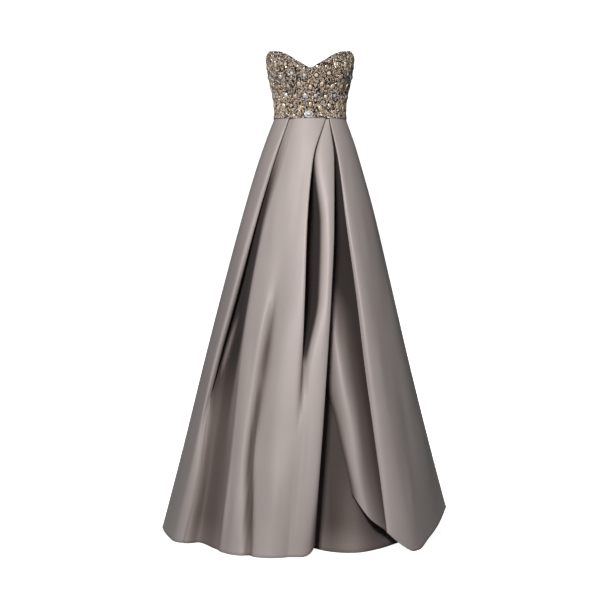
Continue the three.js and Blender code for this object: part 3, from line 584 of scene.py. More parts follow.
def shell(middle, normals, thick, edge_thick=None):
    """A closed shell round a middle surface: half the thickness to each side, with a
    rounded rim whose own line bulges by half the thickness. Returns points, quads, flat
    coordinates and which quads belong to the inside."""
    rows, columns = middle.shape[:2]
    half = np.full((rows, columns, 1), thick / 2)
    if edge_thick:
        half[-1] = edge_thick / 2
        half[-2] = (thick + edge_thick) / 4
    outer = (middle + normals * half).reshape(-1, 3)
    inner = (middle - normals * half).reshape(-1, 3)
    index = np.arange(rows * columns).reshape(rows, columns)
    loop = around(index)
    inward = np.concatenate([
        middle[:, 0] - middle[:, 1], middle[-1, 1:] - middle[-2, 1:],
        middle[-2::-1, -1] - middle[-2::-1, -2], middle[0, -2:0:-1] - middle[1, -2:0:-1],
    ])
    rim = around(middle) + unit(inward) * around(half)
    a, b, c, d = index[:-1, :-1], index[1:, :-1], index[1:, 1:], index[:-1, 1:]
    face = np.stack([a, b, c, d], -1).reshape(-1, 4)
    under = rows * columns
    middle_loop = 2 * under + np.arange(len(loop))
    following = np.roll(loop, -1)
    middle_following = np.roll(middle_loop, -1)
    outer_rim = np.stack([loop, middle_loop, middle_following, following], -1)
    inner_rim = np.stack([middle_loop, loop + under, following + under, middle_following], -1)
    quads = np.concatenate([face, face[:, ::-1] + under, outer_rim, inner_rim])
    flat = grid_lengths(middle).reshape(-1, 2)
    inside = np.zeros(len(quads), int)
    inside[len(face):2 * len(face)] = 1
    points = np.concatenate([outer, inner, rim])
    return points, quads, np.concatenate([flat, flat, flat[loop]]), inside


def painted_plane_shade(points):
    """How much shade is painted on the flat pressed plane of the front: evenly so between the
    trough's line and the crease's, with a sharp edge at the crease."""
    x, drop = points[..., 0], -points[..., 2]
    crease, trough = (monotone(DROPS, FRONT[name][0])(drop) for name in ("crease", "trough"))
    half_edge = PAINTED_PLANE_SHADE["edge"] / 2
    left_of_crease = ease(x, crease + half_edge, crease - half_edge)
    right_of_trough = ease(x, trough - PAINTED_PLANE_SHADE["fade"], trough)
    grown = ease(drop, *PAINTED_PLANE_SHADE["begins"])
    return PAINTED_PLANE_SHADE["most"] * left_of_crease * right_of_trough * grown


def shaded_edge(points):
    """How much shade is painted on the cloth beside its first edge: most at the edge, nothing at a width.
    """
    from_edge = grid_lengths(points)[..., 0] / MM
    from_edge = from_edge - from_edge[:, :1]
    grown = ease(-points[..., 2], *SHADED_EDGE["begins"])
    return SHADED_EDGE["most"] * ease(from_edge, SHADED_EDGE["wide"], 0.0) * grown


# Further shade painted into the colour of a panel, by its own mask
MORE_SHADE = {"front": painted_plane_shade, "overlay": shaded_edge}


def fold_depth(middle, raised, kind):
    """How much shade is painted into the cloth: the largest of an eased depth behind the girth,
    an eased depth of a crease and the panel's own painted shade, made less on a crease's
    ridge and near the hem, as painted light."""
    drop = -middle[..., 2]
    shade = FOLD_SHADE[kind]
    open_share = ease(drop, *shade["opens"])
    begins, darkest, most = (
        upper + (lower - upper) * open_share
        for upper, lower in zip(shade["upper"], shade["lower"])
    )
    behind = behind_girth(middle)
    in_fold = most * ease(behind, begins, darkest)
    if "shades_itself" in shade:
        deep, deepest, share = shade["shades_itself"]
        in_fold = in_fold * (1 - share * open_share * ease(behind, deep, deepest))
    in_crease = ease(-raised, CREASE_SHADE["begins"], CREASE_SHADE["darkest"])
    depth = np.maximum(in_fold, CREASE_SHADE["most"] * in_crease)
    if kind in MORE_SHADE:
        depth = np.maximum(depth, MORE_SHADE[kind](middle))
    on_ridge = ease(raised, RIDGE_LIGHT["begins"], RIDGE_LIGHT["lightest"])
    near_hem = ease(drop, HEM_LIGHT["from"], HEM_LIGHT["to"])
    return depth * (1 - RIDGE_LIGHT["most"] * on_ridge) * (1 - HEM_LIGHT["most"] * near_hem)


def skirt_shell(lines, panel, settings, first=None, last=None):
    """A skirt panel's closed shell, with the shade painted at each point deep in its folds.
    Seam ends take the girth's own normal, so neighbouring edges stay parallel."""
    kind = panel.split("_")[0]
    middle = lines_to_grid(lines, PANEL_ROWS[kind])
    creases = crease_height(middle[..., 0], -middle[..., 2], CREASES[panel])
    raised = creases * settings.crease_strength
    across = grid_lengths(middle)[..., 0] / MM
    if first is not None:
        raised = raised * ease(across - across[:, :1], 0.0, SEAM_FADE)
    if last is not None:
        raised = raised * ease(across[:, -1:] - across, 0.0, SEAM_FADE)
    middle = middle + girth_outwards(middle) * raised[..., None]
    # The shade painted into each point's colour deep in the folds
    depth = fold_depth(middle, raised, kind)
    normals = grid_normals(middle)
    if first is not None:
        normals[:, 0] = first
    if last is not None:
        normals[:, -1] = last
    thick, hem_thick = settings.cloth_thickness / MM, settings.hem_thickness / MM
    points, quads, flat, _ = shell(middle, normals, thick, hem_thick)
    return points, quads, flat, np.concatenate([depth.ravel(), depth.ravel(), around(depth)])


def seam_bearing(seam, height):
    """The bearing of one of the bodice's seams at a height: an even one in degrees, or a
    side of the princess seams."""
    return SIDES[seam] * PRINCESS(height) if seam in SIDES else seam


def bodice_point(bearing, height):
    """The bodice's middle surface: its ellipse, with a bell-shaped cup added on each side."""
    angle = np.radians(bearing)
    wide = BODICE["side"](height)
    deep = np.where(np.cos(angle) > 0, BODICE["front"](height), BODICE["back"](height))
    out_way = unit(np.stack([deep * np.sin(angle), -wide * np.cos(angle)], -1))
    sideways = (np.abs(bearing) - CUP["bearing"]) / CUP["wide"]
    reach = np.where(height > CUP["height"], CUP["above"], CUP["below"])
    upwards = (height - CUP["height"]) / reach
    out = CUP["out"] * np.exp(-sideways ** 2 - upwards ** 2)
    x = wide * np.sin(angle) + out * out_way[..., 0]
    y = -deep * np.cos(angle) + out * out_way[..., 1]
    return np.stack([x, y, np.maximum(height, SEAM_GAP / 2)], -1)


def bodice_axes(bearing, height):
    """Three directions at each place of the bodice: round it, up it and out of it, from
    small steps of its surface."""
    round_it = unit(bodice_point(bearing + 0.5, height) - bodice_point(bearing - 0.5, height))
    low = np.maximum(height - 1, 0.2)
    up_it = bodice_point(bearing, low + 2) - bodice_point(bearing, low)
    out_of_it = unit(np.cross(round_it, up_it))
    return round_it, np.cross(out_of_it, round_it), out_of_it


# Meshes

def make_piece(name, points, faces, materials, flat=None, tone=None, depth=None, inside=None,
               smooth=True):
    """Puts one mesh of points in millimetres into the scene and onto the gown."""
    mesh = bpy.data.meshes.new(name)
    mesh.from_pydata((points * MM).tolist(), [], faces.tolist())
    mesh.polygons.foreach_set("use_smooth", np.full(len(faces), smooth))
    for material in materials:
        mesh.materials.append(material)
    if inside is not None:
        mesh.polygons.foreach_set("material_index", inside.astype(np.int32))
    if flat is not None:
        corner = np.empty(len(mesh.loops), np.int32)
        mesh.loops.foreach_get("vertex_index", corner)
        layer = mesh.uv_layers.new(name="cloth")
        layer.uv.foreach_set("vector", flat[corner].astype(np.float32).ravel())
    # depth is the shade painted into each point's colour deep in a fold, kept as a point attribute
    for label, values in (("tone", tone), ("fold_depth", depth)):
        if values is not None:
            layer = mesh.attributes.new(label, "FLOAT", "POINT")
            layer.data.foreach_set("value", values.astype(np.float32))
    mesh.update()
    piece = bpy.data.objects.new(name, mesh)
    bpy.context.scene.collection.objects.link(piece)
    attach(piece, "gown")
    return piece


def joined(parts):
    """Several shapes as one: their points, their faces and any further values."""
    points, faces, *more = zip(*parts)
    starts = np.cumsum([0, *map(len, points)])
    faces = [some + start for some, start in zip(faces, starts)]
    return [np.concatenate(values) for values in (points, faces, *more)]


def turned(profile, sides, twist=0.0):
    """A small closed shape: a profile of (radius, height) from its lower to its upper pole,
    carried round the height axis, each ring turned by a share of a step past the last."""
    rings = np.array(profile[1:-1], float)
    step = 2 * np.pi / sides
    angle = np.arange(sides)[None] * step + np.arange(len(rings))[:, None] * twist * step
    ring_points = np.stack([
        rings[:, :1] * np.cos(angle), rings[:, :1] * np.sin(angle),
        np.repeat(rings[:, 1:], sides, axis=1),
    ], -1).reshape(-1, 3)
    poles = np.array([[0, 0, profile[0][1]], [0, 0, profile[-1][1]]], float)
    points = np.concatenate([ring_points, poles])
    here = np.arange(sides)
    there = np.roll(here, -1)
    faces = []
    for ring in range(len(rings) - 1):
        low, high = ring * sides, (ring + 1) * sides
        faces.append(np.stack([here + low, there + low, there + high], -1))
        faces.append(np.stack([here + low, there + high, here + high], -1))
    top = (len(rings) - 1) * sides
    lower_pole, upper_pole = (np.full(sides, len(points) - back) for back in (2, 1))
    faces.append(np.stack([there, here, lower_pole], -1))
    faces.append(np.stack([here + top, there + top, upper_pole], -1))
    return points, np.concatenate(faces)


def scatter(shape, places, axes, sizes, turn, lean=None):
    """Copies of a small shape: each is scaled, turned about the outward axis and leant by
    a slope in two directions, then set at its place."""
    points, faces = shape
    round_it, up_it, out_of_it = axes
    cos, sin = np.cos(turn)[:, None], np.sin(turn)[:, None]
    out_way = out_of_it
    if lean is not None:
        out_way = unit(out_of_it + lean[:, :1] * round_it + lean[:, 1:] * up_it)
    first = round_it * cos + up_it * sin
    first = unit(first - out_way * np.sum(first * out_way, -1, keepdims=True))
    second = np.cross(out_way, first)
    local = points[None] * sizes[:, None]
    copies = (
        places[:, None] + local[..., :1] * first[:, None] + local[..., 1:2] * second[:, None]
        + local[..., 2:] * out_way[:, None]
    )
    start = np.arange(len(places))[:, None, None] * len(points)
    return copies.reshape(-1, 3), (faces[None] + start).reshape(-1, 3)


BEAD = turned([(0, -0.9), (0.82, -0.5), (0.9, 0.35), (0, 0.95)], 7)
SEQUIN = turned([(0, -0.22), (1, 0.0), (0, 0.08)], 9)
BUGLE_UPRIGHT = turned([(0, -1), (0.9, -1), (0.9, 1), (0, 1)], 6)
BUGLE = (BUGLE_UPRIGHT[0][:, [2, 0, 1]], BUGLE_UPRIGHT[1])
SMALL_STONE = turned([(0, -0.4), (1, 0.0), (0.62, 0.5), (0, 0.52)], 7, 0.5)
LARGE_STONE = turned(
    [(0, -0.3), (0.96, -0.2), (1, 0.1), (0.82, 0.5), (0.5, 0.78), (0, 0.82)], 12, 0.5,
)

# Scattered kinds: name, shape, upper end of its share, half sizes, lift, roughness, how
# metallic, whether smooth and whether each leans
BEAD_KINDS = (
    ("seed_beads", BEAD, 0.44, (1.6, 1.6, 1.4), 0.9, 0.34, 0.5, True, False),
    ("sequins", SEQUIN, 0.74, (2.3, 2.3, 1.6), 1.1, 0.3, 0.75, True, True),
    ("bugle_beads", BUGLE, 0.87, (2.4, 0.9, 0.9), 1.0, 0.3, 0.5, True, True),
    ("small_stones", SMALL_STONE, 1.01, (1.9, 1.9, 2.1), 0.8, 0.26, 0.6, False, True),
)


def stone_lattice():
    """Bearing, height and row of each large stone: rows a step apart, every other one moved
    half a step round, swinging up and down by a product of cosines."""
    half_round = np.pi * STONES["girth"]
    bearings, heights, rows = [], [], []
    for row in range(STONES["rows"]):
        shift = (row % 2) * STONES["across"] / 2
        count = int(half_round / STONES["across"])
        girth = np.arange(-count - 1, count + 1) * STONES["across"] + shift
        girth = girth[np.abs(girth) < half_round - STONES["beside_zip"]]
        bearing = np.degrees(girth / STONES["girth"])
        swing = np.cos(STONES["swing_round"] * girth) * np.cos(STONES["swing_up"] * row)
        level = STONES["lowest"] + row * STONES["up"] + STONES["swing"] * swing
        fits = level <= TOP_EDGE(np.abs(bearing)) - STONES["edge"]
        bearings.append(bearing[fits])
        heights.append(level[fits])
        rows.append(np.full(fits.sum(), row))
    return np.concatenate(bearings), np.concatenate(heights), np.concatenate(rows)


def bead_places(pitch, random):
    """Places for beads: staggered rows over the bodice, each place moved a little at
    random, without those under a large stone, the ornament, the zip or the edges."""
    rows = BEAD_ROWS
    half_round = np.pi * STONES["girth"]
    heights = np.arange(rows["lowest"], rows["highest"], pitch * rows["apart"])
    girths = np.arange(-half_round, half_round, pitch)
    girth, height = np.meshgrid(girths, heights)
    girth = girth + (np.arange(len(heights)) % 2)[:, None] * pitch / 2
    girth, height = (
        (middle + random.uniform(-rows["uneven"], rows["uneven"], middle.shape) * pitch).ravel()
        for middle in (girth, height)
    )
    bearing = np.degrees(girth / STONES["girth"])
    keep = height < TOP_EDGE(np.minimum(np.abs(bearing), 180)) - rows["below_edge"]
    keep &= height > rows["above_waist"]
    keep &= np.abs(girth) < half_round - rows["beside_zip"]
    bearing, height, girth = bearing[keep], height[keep], girth[keep]
    stone_bearing, stone_height, _ = stone_lattice()
    stone_girth = np.radians(stone_bearing) * STONES["girth"]
    away = np.hypot(
        girth[:, None] - stone_girth[None], height[:, None] - stone_height[None]
    ).min(axis=1)
    x = bodice_point(bearing, height)[:, 0]
    facing = np.abs(bearing) < 90
    in_ornament = facing & (np.hypot(
        (x - ORNAMENT["x"]) / (ORNAMENT["wide"] / 2 + 1),
        (height - ORNAMENT["height"]) / (ORNAMENT["tall"] / 2 + 1),
    ) < 1)
    keep = (away > rows["beside_stone"]) & ~in_ornament
    return bearing[keep], height[keep]


# Materials

def pick(ends, label):
    """One of a node's inputs or outputs by its name or its number."""
    return ends[int(label) if label.isdigit() else label]


def add_node(tree, kind, **values):
    """A new node with its own properties set, and inputs set where a name begins in_."""
    node = tree.nodes.new("ShaderNode" + kind)
    for name, value in values.items():
        if name.startswith("in_"):
            pick(node.inputs, name[3:].replace("_", " ")).default_value = value
        else:
            setattr(node, name, value)
    return node


def link_nodes(tree, nodes, *links):
    """Joins named nodes. Each link reads: node.output > node.input."""
    for link in links:
        start, end = (place.split(".") for place in link.split(" > "))
        output = pick(nodes[start[0]].outputs, start[1])
        tree.links.new(output, pick(nodes[end[0]].inputs, end[1]))


def new_group(name, inputs):
    """A shader node group with named inputs and their defaults, which gives a colour, a
    roughness and a height. Returns it and its two end nodes by name."""
    group = bpy.data.node_groups.new(name, "ShaderNodeTree")
    for label, value in inputs.items():
        kind = "NodeSocketColor" if isinstance(value, tuple) else "NodeSocketFloat"
        group.interface.new_socket(label, in_out="INPUT", socket_type=kind).default_value = value
    for label, kind in (("Color", "Color"), ("Roughness", "Float"), ("Height", "Float")):
        group.interface.new_socket(label, in_out="OUTPUT", socket_type="NodeSocket" + kind)
    ends = ("start", "NodeGroupInput"), ("end", "NodeGroupOutput")
    return group, {end: group.nodes.new(kind) for end, kind in ends}


def woven_group():
    """Woven cloth: threads as crossed waves in the cloth's own flat coordinates, slubs as
    stretched noise, and slow changes of shade."""
    if "woven_cloth" in bpy.data.node_groups:
        return bpy.data.node_groups["woven_cloth"]
    group, nodes = new_group("woven_cloth", {
        "Cloth": (0.5, 0.5, 0.5, 1), "Shade": (0.4, 0.4, 0.4, 1),
        "Threads per metre": 1400.0, "Roughness": 0.4,
    })
    nodes |= {
        "place": add_node(group, "UVMap", uv_map="cloth"),
        "warp": add_node(group, "TexWave", bands_direction="X", in_Distortion=0.4),
        "weft": add_node(group, "TexWave", bands_direction="DIAGONAL", in_Distortion=0.3),
        "slub_place": add_node(group, "Mapping", in_Scale=(900, 28, 1)),
        "slub": add_node(group, "TexNoise", in_Scale=1.0, in_Detail=3.0),
        "slow": add_node(group, "TexNoise", in_Scale=5.0, in_Detail=3.0),
        "scale": add_node(group, "Math", operation="MULTIPLY", in_1=0.05),
        "threads": add_node(group, "Math", operation="MULTIPLY"),
        "height": add_node(group, "Math", operation="MULTIPLY_ADD", in_1=0.6),
        "shade": add_node(group, "MapRange", in_From_Min=0.3, in_From_Max=0.7, in_To_Max=0.55),
        "colour": add_node(group, "Mix", data_type="RGBA"),
        "rough": add_node(group, "Math", operation="MULTIPLY_ADD", in_1=0.16),
        "lower": add_node(group, "Math", operation="SUBTRACT", in_1=0.08),
    }
    link_nodes(
        group, nodes, "place.UV > warp.Vector", "place.UV > weft.Vector",
        "place.UV > slub_place.Vector", "slub_place.Vector > slub.Vector",
        "place.UV > slow.Vector", "start.Threads per metre > scale.0", "scale.0 > warp.Scale",
        "scale.0 > weft.Scale", "warp.Fac > threads.0", "weft.Fac > threads.1",
        "slub.Fac > height.0", "threads.0 > height.2", "slow.Fac > shade.Value",
        "shade.Result > colour.Factor", "start.Cloth > colour.A", "start.Shade > colour.B",
        "slub.Fac > rough.0", "start.Roughness > lower.0", "lower.0 > rough.2",
        "colour.Result > end.Color", "rough.0 > end.Roughness", "height.0 > end.Height",
    )
    return group


def uneven_group():
    """Handmade unevenness: fine noise on Object coordinates darkens a colour a little and
    moves a roughness up and down."""
    if "handmade_unevenness" in bpy.data.node_groups:
        return bpy.data.node_groups["handmade_unevenness"]
    group, nodes = new_group("handmade_unevenness", {
        "Colour": (0.5, 0.5, 0.5, 1), "Roughness": 0.3, "Grain": 300.0,
    })
    nodes |= {
        "place": add_node(group, "TexCoord"),
        "noise": add_node(group, "TexNoise", in_Detail=2.0),
        "darker": add_node(group, "HueSaturation", in_Saturation=1.05),
        "value": add_node(group, "MapRange", in_To_Min=0.72, in_To_Max=1.2),
        "rough": add_node(group, "Math", operation="MULTIPLY_ADD", in_1=0.12),
    }
    link_nodes(
        group, nodes, "place.Object > noise.Vector", "start.Grain > noise.Scale",
        "noise.Fac > value.Value", "start.Colour > darker.Color", "value.Result > darker.Value",
        "noise.Fac > rough.0", "start.Roughness > rough.2", "darker.Color > end.Color",
        "rough.0 > end.Roughness", "noise.Fac > end.Height",
    )
    return group


def new_material(name, **shader_values):
    """A material with its shader's own constants set. Returns it, its tree and nodes."""
    material = bpy.data.materials.new(name)
    material.use_nodes = True
    tree = material.node_tree
    nodes = {"shader": tree.nodes["Principled BSDF"], "output": tree.nodes["Material Output"]}
    for label, value in shader_values.items():
        nodes["shader"].inputs[label.replace("_", " ")].default_value = value
    return material, tree, nodes


def cloth_material(name, colour, shade, roughness, threads, bump, deep=0.0, **shader_values):
    """Woven cloth with its sheen, weave and slow random changes of tone. Deep in a fold shade
    is painted into its colour, which goes down by the share called deep, as far as the
    piece's attribute of painted fold shade says."""
    if name in bpy.data.materials:
        return bpy.data.materials[name]
    material, tree, nodes = new_material(name, **shader_values)
    nodes |= {
        "weave": add_node(
            tree, "Group", node_tree=woven_group(), in_Cloth=(*colour, 1), in_Shade=(*shade, 1),
            in_Threads_per_metre=threads, in_Roughness=roughness,
        ),
        "relief": add_node(tree, "Bump", in_Strength=bump, in_Distance=0.0002),
        # Shade painted deep in folds: the fold attribute lowers the colour's value, makes it more
        # saturated and makes the satin rougher
        "fold": add_node(tree, "Attribute", attribute_name="fold_depth"),
        "light": add_node(tree, "MapRange", in_To_Min=1.0, in_To_Max=1.0 - deep),
        "darker": add_node(tree, "HueSaturation"),
        "warmer": add_node(tree, "MapRange", in_To_Min=1.0, in_To_Max=1.9),
        "duller": add_node(tree, "Math", operation="MULTIPLY_ADD", use_clamp=True, in_1=0.4),
    }
    link_nodes(
        tree, nodes, "fold.Fac > light.Value", "fold.Fac > warmer.Value",
        "warmer.Result > darker.Saturation", "fold.Fac > duller.0",
        "weave.Roughness > duller.2", "light.Result > darker.Value",
        "weave.Color > darker.Color", "darker.Color > shader.Base Color",
        "duller.0 > shader.Roughness", "weave.Height > relief.Height",
        "relief.Normal > shader.Normal",
    )
    return material


def toned_material(name, tones, roughness, grain=300.0, **shader_values):
    """Beads, sequins, stones or metal: each copy's own tone picks a colour out of the
    palette, which the handmade unevenness then varies."""
    if name in bpy.data.materials:
        return bpy.data.materials[name]
    material, tree, nodes = new_material(name, **shader_values)
    nodes |= {
        "tone": add_node(tree, "Attribute", attribute_name="tone"),
        "palette": add_node(tree, "ValToRGB"),
        "uneven": add_node(
            tree, "Group", node_tree=uneven_group(), in_Roughness=roughness, in_Grain=grain,
        ),
    }
    ramp = nodes["palette"].color_ramp
    ramp.interpolation = "CONSTANT"
    while len(ramp.elements) < len(tones):
        ramp.elements.new(0.5)
    for element, (position, colour) in zip(ramp.elements, tones):
        element.position = position
        element.color = (*colour, 1)
    link_nodes(
        tree, nodes, "tone.Fac > palette.Fac", "palette.Color > uneven.Colour",
        "uneven.Color > shader.Base Color", "uneven.Roughness > shader.Roughness",
    )
    return material


def plain_metal(name, colour, roughness, metallic, grain=300.0):
    """Metal of one colour."""
    tones = ((0.0, colour), (0.9, colour))
    return toned_material(name, tones, roughness, grain, Metallic=metallic)


def satin_panel(name, lines, panel, settings, **ends):
    """A skirt panel's closed shell of heavy satin as a piece on the gown."""
    satin = cloth_material(
        "gown_satin", settings.satin_colour, settings.satin_shade, 0.47, 1400.0, 0.12,
        deep=settings.painted_shade_strength, Sheen_Weight=0.04, Sheen_Roughness=0.4,
        Specular_IOR_Level=0.42, Specular_Tint=(1.0, 0.88, 0.85, 1), Anisotropic=0.3,
    )
    # depth is the shade painted into each point's colour deep in the folds
    points, quads, flat, depth = skirt_shell(lines, panel, settings, **ends)
    return make_piece(name, points, quads, [satin], flat=flat, depth=depth)


def sewn_on(name, shape, material, tone, places, axes, sizes, turn, lean=None, smooth=True):
    """Copies of a small shape as one piece on the gown, each copy with its own tone."""
    points, faces = scatter(shape, places, axes, sizes, turn, lean)
    tones = np.repeat(tone, len(shape[0]))
    return make_piece(name, points, faces, [material], tone=tones, smooth=smooth)


# Settings

def colour_setting(name, description, default):
    """A colour in the panel."""
    return bpy.props.FloatVectorProperty(
        name=name, description=description, default=default, subtype="COLOR", size=3,
        min=0, max=1,
    )


def length_setting(name, description, default, low, high):
    """A small length in metres in the panel."""
    return bpy.props.FloatProperty(
        name=name, description=description, default=default, unit="LENGTH", min=low,
        max=high, precision=5,
    )


class GownSkirtSettings(bpy.types.PropertyGroup):
    """Sizes and colours of the skirt."""

    satin_colour: colour_setting("Satin", "Main colour of the satin", (0.345, 0.300, 0.285))
    satin_shade: colour_setting(
        "Satin shade", "Colour that the satin drifts to in places", (0.300, 0.262, 0.250),
    )
    cloth_thickness: length_setting(
        "Cloth", "Thickness of the satin with its facing", 0.0009, 0.0003, 0.002,
    )
    hem_thickness: length_setting("Hem", "Thickness of the turned hem", 0.0024, 0.001, 0.004)
    # The share of its colour the satin loses where shade is painted deep in a fold
    painted_shade_strength: bpy.props.FloatProperty(
        name="Fold darkening", description="How much of its colour the satin loses deep in a fold",
        default=0.92, subtype="FACTOR", min=0, max=1,
    )
    crease_strength: bpy.props.FloatProperty(
        name="Creases", description="Height of the soft creases, as a share of their own",
        default=1.0, subtype="FACTOR", min=0, max=1.5,
    )


class GownBodiceSettings(bpy.types.PropertyGroup):
    """Sizes and colours of the beaded bodice."""

    cloth_colour: colour_setting("Ground", "Cloth under the beads", (0.045, 0.034, 0.028))
    inside_colour: colour_setting("Inside", "Inside of the bodice", (0.30, 0.26, 0.24))
    gold: colour_setting("Gold", "Gold beads and stones", (0.58, 0.42, 0.26))
    champagne: colour_setting("Champagne", "Pale gold beads and stones", (0.81, 0.69, 0.56))
    silver: colour_setting("Silver", "Silver and clear beads and stones", (0.77, 0.73, 0.69))
    bronze: colour_setting("Bronze", "Brown beads", (0.13, 0.08, 0.06))
    jet: colour_setting("Jet", "Black beads", (0.015, 0.012, 0.012))
    cloth_thickness: length_setting(
        "Cloth", "Thickness of the bodice's cloth", 0.0016, 0.0005, 0.0026,
    )
    bead_pitch: length_setting(
        "Bead pitch", "Distance from one bead to the next", 0.0033, 0.003, 0.008,
    )
    stone_radius: length_setting(
        "Stone", "Half the length of a large stone", 0.0068, 0.004, 0.009,
    )


class GownStageSettings(bpy.types.PropertyGroup):
    """Floor and lights."""

    floor_colour: colour_setting("Floor", "Colour of the floor and backdrop", (0.85, 0.85, 0.85))
    key_power: bpy.props.FloatProperty(
        name="Key light", description="Power of the large front light in watts",
        default=130.0, unit="POWER", min=0, max=2000,
    )
    fill_strength: bpy.props.FloatProperty(
        name="Fill", description="Strength of the even light from all round",
        default=0.09, min=0, max=2,
    )


# Operators

class GOWN_OT_skirt_front(bpy.types.Operator):
    """Build the skirt's front with its knife pleat, pocket pleat and slit edge"""

    bl_idname = "gown.skirt_front"
    bl_label = "Skirt front"

    def execute(self, context):
        piece = satin_panel(
            "skirt_front_satin", front_lines(), "front", context.scene.gown_skirt,
            first=(-1, 0, 0),
        )
        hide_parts("skirt_front")
        return {"FINISHED"}


class GOWN_OT_skirt_overlay(bpy.types.Operator):
    """Build the right overlay with its folded ridge and rounded hem"""

    bl_idname = "gown.skirt_overlay"
    bl_label = "Skirt overlay"

    def execute(self, context):
        piece = satin_panel(
            "skirt_overlay_satin", overlay_lines(), "overlay", context.scene.gown_skirt,
            last=(1, 0, 0),
        )
        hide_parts("skirt_overlay_right")
        return {"FINISHED"}


class GOWN_OT_skirt_underlay(bpy.types.Operator):
    """Build the underlay that shows through the slit"""

    bl_idname = "gown.skirt_underlay"
    bl_label = "Skirt underlay"

    def execute(self, context):
        lines = [fold_line(row) for row in UNDERLAY.values()]
        piece = satin_panel("skirt_underlay_satin", lines, "underlay", context.scene.gown_skirt)
        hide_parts("skirt_underlay")
        return {"FINISHED"}


class GOWN_OT_skirt_backs(bpy.types.Operator):
    """Build the two back panels with their knife pleats"""

    bl_idname = "gown.skirt_backs"
    bl_label = "Skirt backs"

    def execute(self, context):
        for name in ("right", "left"):
            side = SIDES[name]
            ends = ((side, 0, 0), (0, 1, 0))
            first, last = ends if side > 0 else ends[::-1]
            piece = satin_panel(
                "skirt_back_" + name + "_satin", back_lines(side), "back_" + name,
                context.scene.gown_skirt, first=first, last=last,
            )
            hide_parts("skirt_back_" + name)
        return {"FINISHED"}


class GOWN_OT_bodice_cloth(bpy.types.Operator):
    """Build the five panels of the bodice's cloth, under the beads"""

    bl_idname = "gown.bodice_cloth"
    bl_label = "Bodice cloth"

    def execute(self, context):
        settings = context.scene.gown_bodice
        shells = []
        for first_seam, last_seam, columns, rows in BODICE_PANELS:
            share = np.linspace(1, 0, rows)[:, None]
            across = np.linspace(0, 1, columns)[None]

            def seam_at(height):
                first, last = seam_bearing(first_seam, height), seam_bearing(last_seam, height)
                return first * (1 - across) + last * across

            height = share * TOP_EDGE(np.abs(seam_at(share * BODICE_HEIGHT)))
            trim = np.degrees((0.5 - across) * SEAM_GAP / BODICE_RADIUS)
            bearing = seam_at(height) + trim
            normals = bodice_axes(bearing, height)[2]
            middle = bodice_point(bearing, height)
            shells.append(shell(middle, normals, settings.cloth_thickness / MM))
        points, quads, flat, inside = joined(shells)
        ground = cloth_material(
            "bodice_ground", settings.cloth_colour, settings.cloth_colour, 0.6, 900.0, 0.4,
            Sheen_Weight=0.1,
        )
        inner = cloth_material(
            "bodice_inside", settings.inside_colour, settings.inside_colour, 0.55, 1200.0,
            0.2, Sheen_Weight=0.2,
        )
        piece = make_piece(
            "bodice_cloth", points, quads, [ground, inner], flat=flat, inside=inside,
        )
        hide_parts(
            "bodice_front_centre", "bodice_front_left", "bodice_front_right",
            "bodice_back_left", "bodice_back_right",
        )
        return {"FINISHED"}


class GOWN_OT_beads(bpy.types.Operator):
    """Sew on the scattered beads, sequins, bugle beads and small stones"""

    bl_idname = "gown.beads"
    bl_label = "Beads and sequins"

    def execute(self, context):
        settings = context.scene.gown_bodice
        random = np.random.default_rng(BEAD_SEED)
        bearing, height = bead_places(settings.bead_pitch / MM, random)
        count = len(bearing)
        kind = random.random(count)
        tone = random.random(count)
        turn = random.uniform(0, 2 * np.pi, count)
        grow = random.uniform(*BEAD_GROWS, (count, 1))
        lean = random.normal(0, BEAD_LEANS, (count, 2))
        axes = bodice_axes(bearing, height)
        surface = bodice_point(bearing, height)
        cloth = settings.cloth_thickness / MM / 2
        tones = (
            (0.0, settings.gold), (0.14, settings.champagne), (0.48, settings.jet),
            (0.70, settings.bronze), (0.82, settings.silver), (0.95, settings.gold),
        )
        low = 0.0
        for name, shape, high, size, lift, rough, metallic, smooth, leans in BEAD_KINDS:
            chosen = (kind >= low) & (kind < high)
            low = high
            finish = toned_material("finish_" + name, tones, rough, Metallic=metallic)
            piece = sewn_on(
                name, shape, finish, tone[chosen],
                surface[chosen] + axes[2][chosen] * (cloth + lift),
                [axis[chosen] for axis in axes], grow[chosen] * np.array([size]),
                turn[chosen], lean[chosen] if leans else None, smooth,
            )
        return {"FINISHED"}


